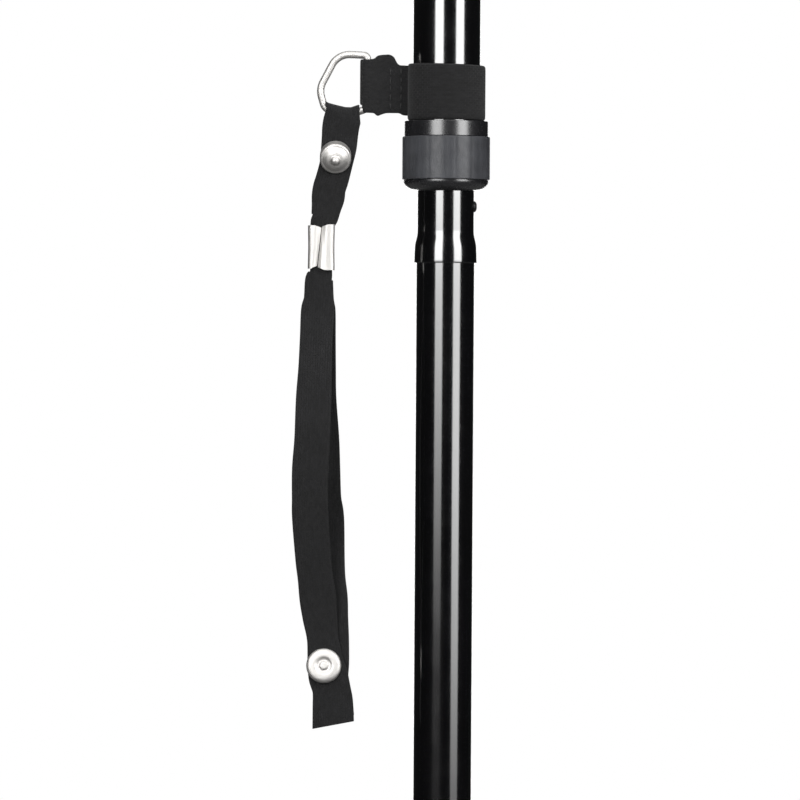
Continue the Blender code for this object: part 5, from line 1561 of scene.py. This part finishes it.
class BuildStudio(bpy.types.Operator):
    """Makes the pale floor, the soft lamps, the white backdrop and the camera"""
    bl_idname = "quad_cane.build_studio"
    bl_label = "Studio"

    def execute(self, context):
        studio = context.scene.cane_studio
        self.build_floor(context.scene.cane_colours)
        self.place_lamps(studio)
        self.light_world(context.scene, studio)
        self.place_camera(context.scene)
        context.scene.view_settings.view_transform = 'Standard'
        return {'FINISHED'}

    def build_floor(self, colours):
        """A round painted floor that fades out into the backdrop."""
        shape = bmesh.new()
        bmesh.ops.create_circle(shape, cap_ends=True, segments=96, radius=1.6)
        paint = bpy.data.materials.new("matte_floor_paint")
        paint.use_nodes = True
        paint.node_tree.nodes.clear()
        where = add_node(paint, "ShaderNodeTexCoord").outputs["Object"]
        mottled = add_node(paint, "ShaderNodeTexNoise", {"Vector": where, "Scale": 6.0}).outputs[0]
        tones = {6: shade(colours.floor, 0.99), 7: shade(colours.floor, 1.01)}
        tone = add_node(paint, "ShaderNodeMix", {0: mottled, **tones}, data_type='RGBA')
        matte = add_node(paint, "ShaderNodeBsdfDiffuse", {"Color": tone.outputs[2]})
        clear = add_node(paint, "ShaderNodeBsdfTransparent")
        reach = add_node(paint, "ShaderNodeVectorMath", {0: where}, operation='LENGTH').outputs["Value"]
        fading = add_node(
            paint, "ShaderNodeMapRange", {"Value": reach, "From Min": 0.4, "From Max": 1.5},
            interpolation_type='SMOOTHSTEP'
        )
        shares = {0: fading.outputs[0], 1: matte.outputs[0], 2: clear.outputs[0]}
        mixed = add_node(paint, "ShaderNodeMixShader", shares)
        add_node(paint, "ShaderNodeOutputMaterial", {"Surface": mixed.outputs[0]})
        floor = new_object("studio_floor", shape, paint)
        floor.location.z = -0.2 * MM
        floor.visible_glossy = False

    def place_lamps(self, studio):
        """Two tall lamps in front, which draw the tubes' bright lines, one behind and one overhead."""
        distance = studio.lamp_distance
        width = 2 * distance * math.tan(LAMP_HALF_ANGLE)
        for name, azimuth, levels in (("left_lamp", -26.0, LEFT_LEVELS), ("right_lamp", 46.0, RIGHT_LEVELS)):
            turn = Matrix.Rotation(math.radians(azimuth), 4, 'Z')
            place = on_shaft() @ turn @ Matrix.Translation((0.0, -distance, 0.0))
            glowing_panel(name, width, 0.0, 1.5, studio.lamp, place, levels)
        glowing_panel("rear_lamp", 0.42, 0.1, 1.4, studio.rear_lamp, on_shaft(0.0, 1.5))
        above = Matrix.Translation((0.0, -0.45, 1.9)) @ TO_FRONT
        glowing_panel("top_lamp", 1.2, -0.6, 0.6, studio.top_lamp, above)

    def light_world(self, scene, studio):
        """White for the camera and where a glossy or clear piece shows the backdrop, dim fill elsewhere."""
        world = bpy.data.worlds.new("studio")
        scene.world = world
        world.use_nodes = True
        world.node_tree.nodes.clear()
        ray = add_node(world, "ShaderNodeLightPath").outputs
        direction = add_node(world, "ShaderNodeTexCoord").outputs["Generated"]
        away = add_node(world, "ShaderNodeSeparateXYZ", {0: direction}).outputs["Y"]
        # The backdrop is a round patch behind the cane: full within 12 degrees, gone at 18.
        backdrop = add_node(world, "ShaderNodeMapRange", {
            "Value": away, "From Min": math.cos(math.radians(18)), "From Max": math.cos(math.radians(12)),
        }).outputs[0]
        rays = {0: ray["Is Glossy Ray"], 1: ray["Is Transmission Ray"]}
        mirrored = add_node(world, "ShaderNodeMath", rays, operation='MAXIMUM').outputs[0]
        seen = add_node(world, "ShaderNodeMath", {0: mirrored, 1: backdrop}, operation='MULTIPLY').outputs[0]
        shown = {0: seen, 1: ray["Is Camera Ray"]}
        white = add_node(world, "ShaderNodeMath", shown, operation='MAXIMUM').outputs[0]
        down = add_node(world, "ShaderNodeSeparateXYZ", {0: direction}).outputs["Z"]
        dark = add_node(world, "ShaderNodeMapRange", {
            "Value": down, "From Min": -0.25, "From Max": -0.5, "To Min": 0.012, "To Max": 0.12,
        }).outputs[0]
        dim = add_node(world, "ShaderNodeMapRange", {
            "Value": mirrored, "To Min": studio.fill, "To Max": dark,
        }).outputs[0]
        level = add_node(world, "ShaderNodeMapRange", {"Value": white, "To Min": dim, "To Max": 1.0})
        glow = add_node(world, "ShaderNodeBackground", {
            "Color": (1.0, 1.0, 1.0, 1.0), "Strength": level.outputs[0],
        })
        add_node(world, "ShaderNodeOutputWorld", {"Surface": glow.outputs[0]})

    def place_camera(self, scene):
        """A long lens at strap height, level, square to the bent handle."""
        data = bpy.data.cameras.new("camera")
        data.sensor_width = 36.0
        data.lens = 36.0 * CAMERA_DISTANCE / VIEW_WIDTH
        data.clip_end = 100.0
        camera = add_object("camera", data)
        camera.location = (CAMERA_X, SHAFT_Y - CAMERA_DISTANCE, CAMERA_Z)
        camera.rotation_euler = (math.radians(90), CAMERA_ROLL, 0.0)
        scene.camera = camera


OPERATORS = (
    BuildShaft, BuildCord, BuildCollar, BuildHandle, BuildBand, BuildWristStrap, BuildBase, BuildTips,
    BuildStudio,
)


class CanePanel(bpy.types.Panel):
    """Lists the pieces of the cane and their settings"""
    bl_idname = "VIEW3D_PT_quad_cane"
    bl_label = "Quad Cane"
    bl_space_type = 'VIEW_3D'
    bl_region_type = 'UI'
    bl_category = "Quad Cane"

    def draw(self, context):
        for group in (context.scene.cane_sizes, context.scene.cane_colours, context.scene.cane_studio):
            box = self.layout.box()
            for name in group.__annotations__:
                box.prop(group, name)
        for operator in OPERATORS:
            self.layout.operator(operator.bl_idname)


GROUPS = {"cane_sizes": CaneSizes, "cane_colours": CaneColours, "cane_studio": CaneStudio}


def register():
    for name, group in GROUPS.items():
        bpy.utils.register_class(group)
        setattr(bpy.types.Scene, name, PointerProperty(type=group))
    for item in OPERATORS + (CanePanel,):
        bpy.utils.register_class(item)


def unregister():
    for item in reversed(OPERATORS + (CanePanel,)):
        bpy.utils.unregister_class(item)
    for name, group in GROUPS.items():
        delattr(bpy.types.Scene, name)
        bpy.utils.unregister_class(group)


def main():
    register()
    for operator in OPERATORS:
        group, call = operator.bl_idname.split(".")
        getattr(getattr(bpy.ops, group), call)()


if __name__ == "__main__":
    main()
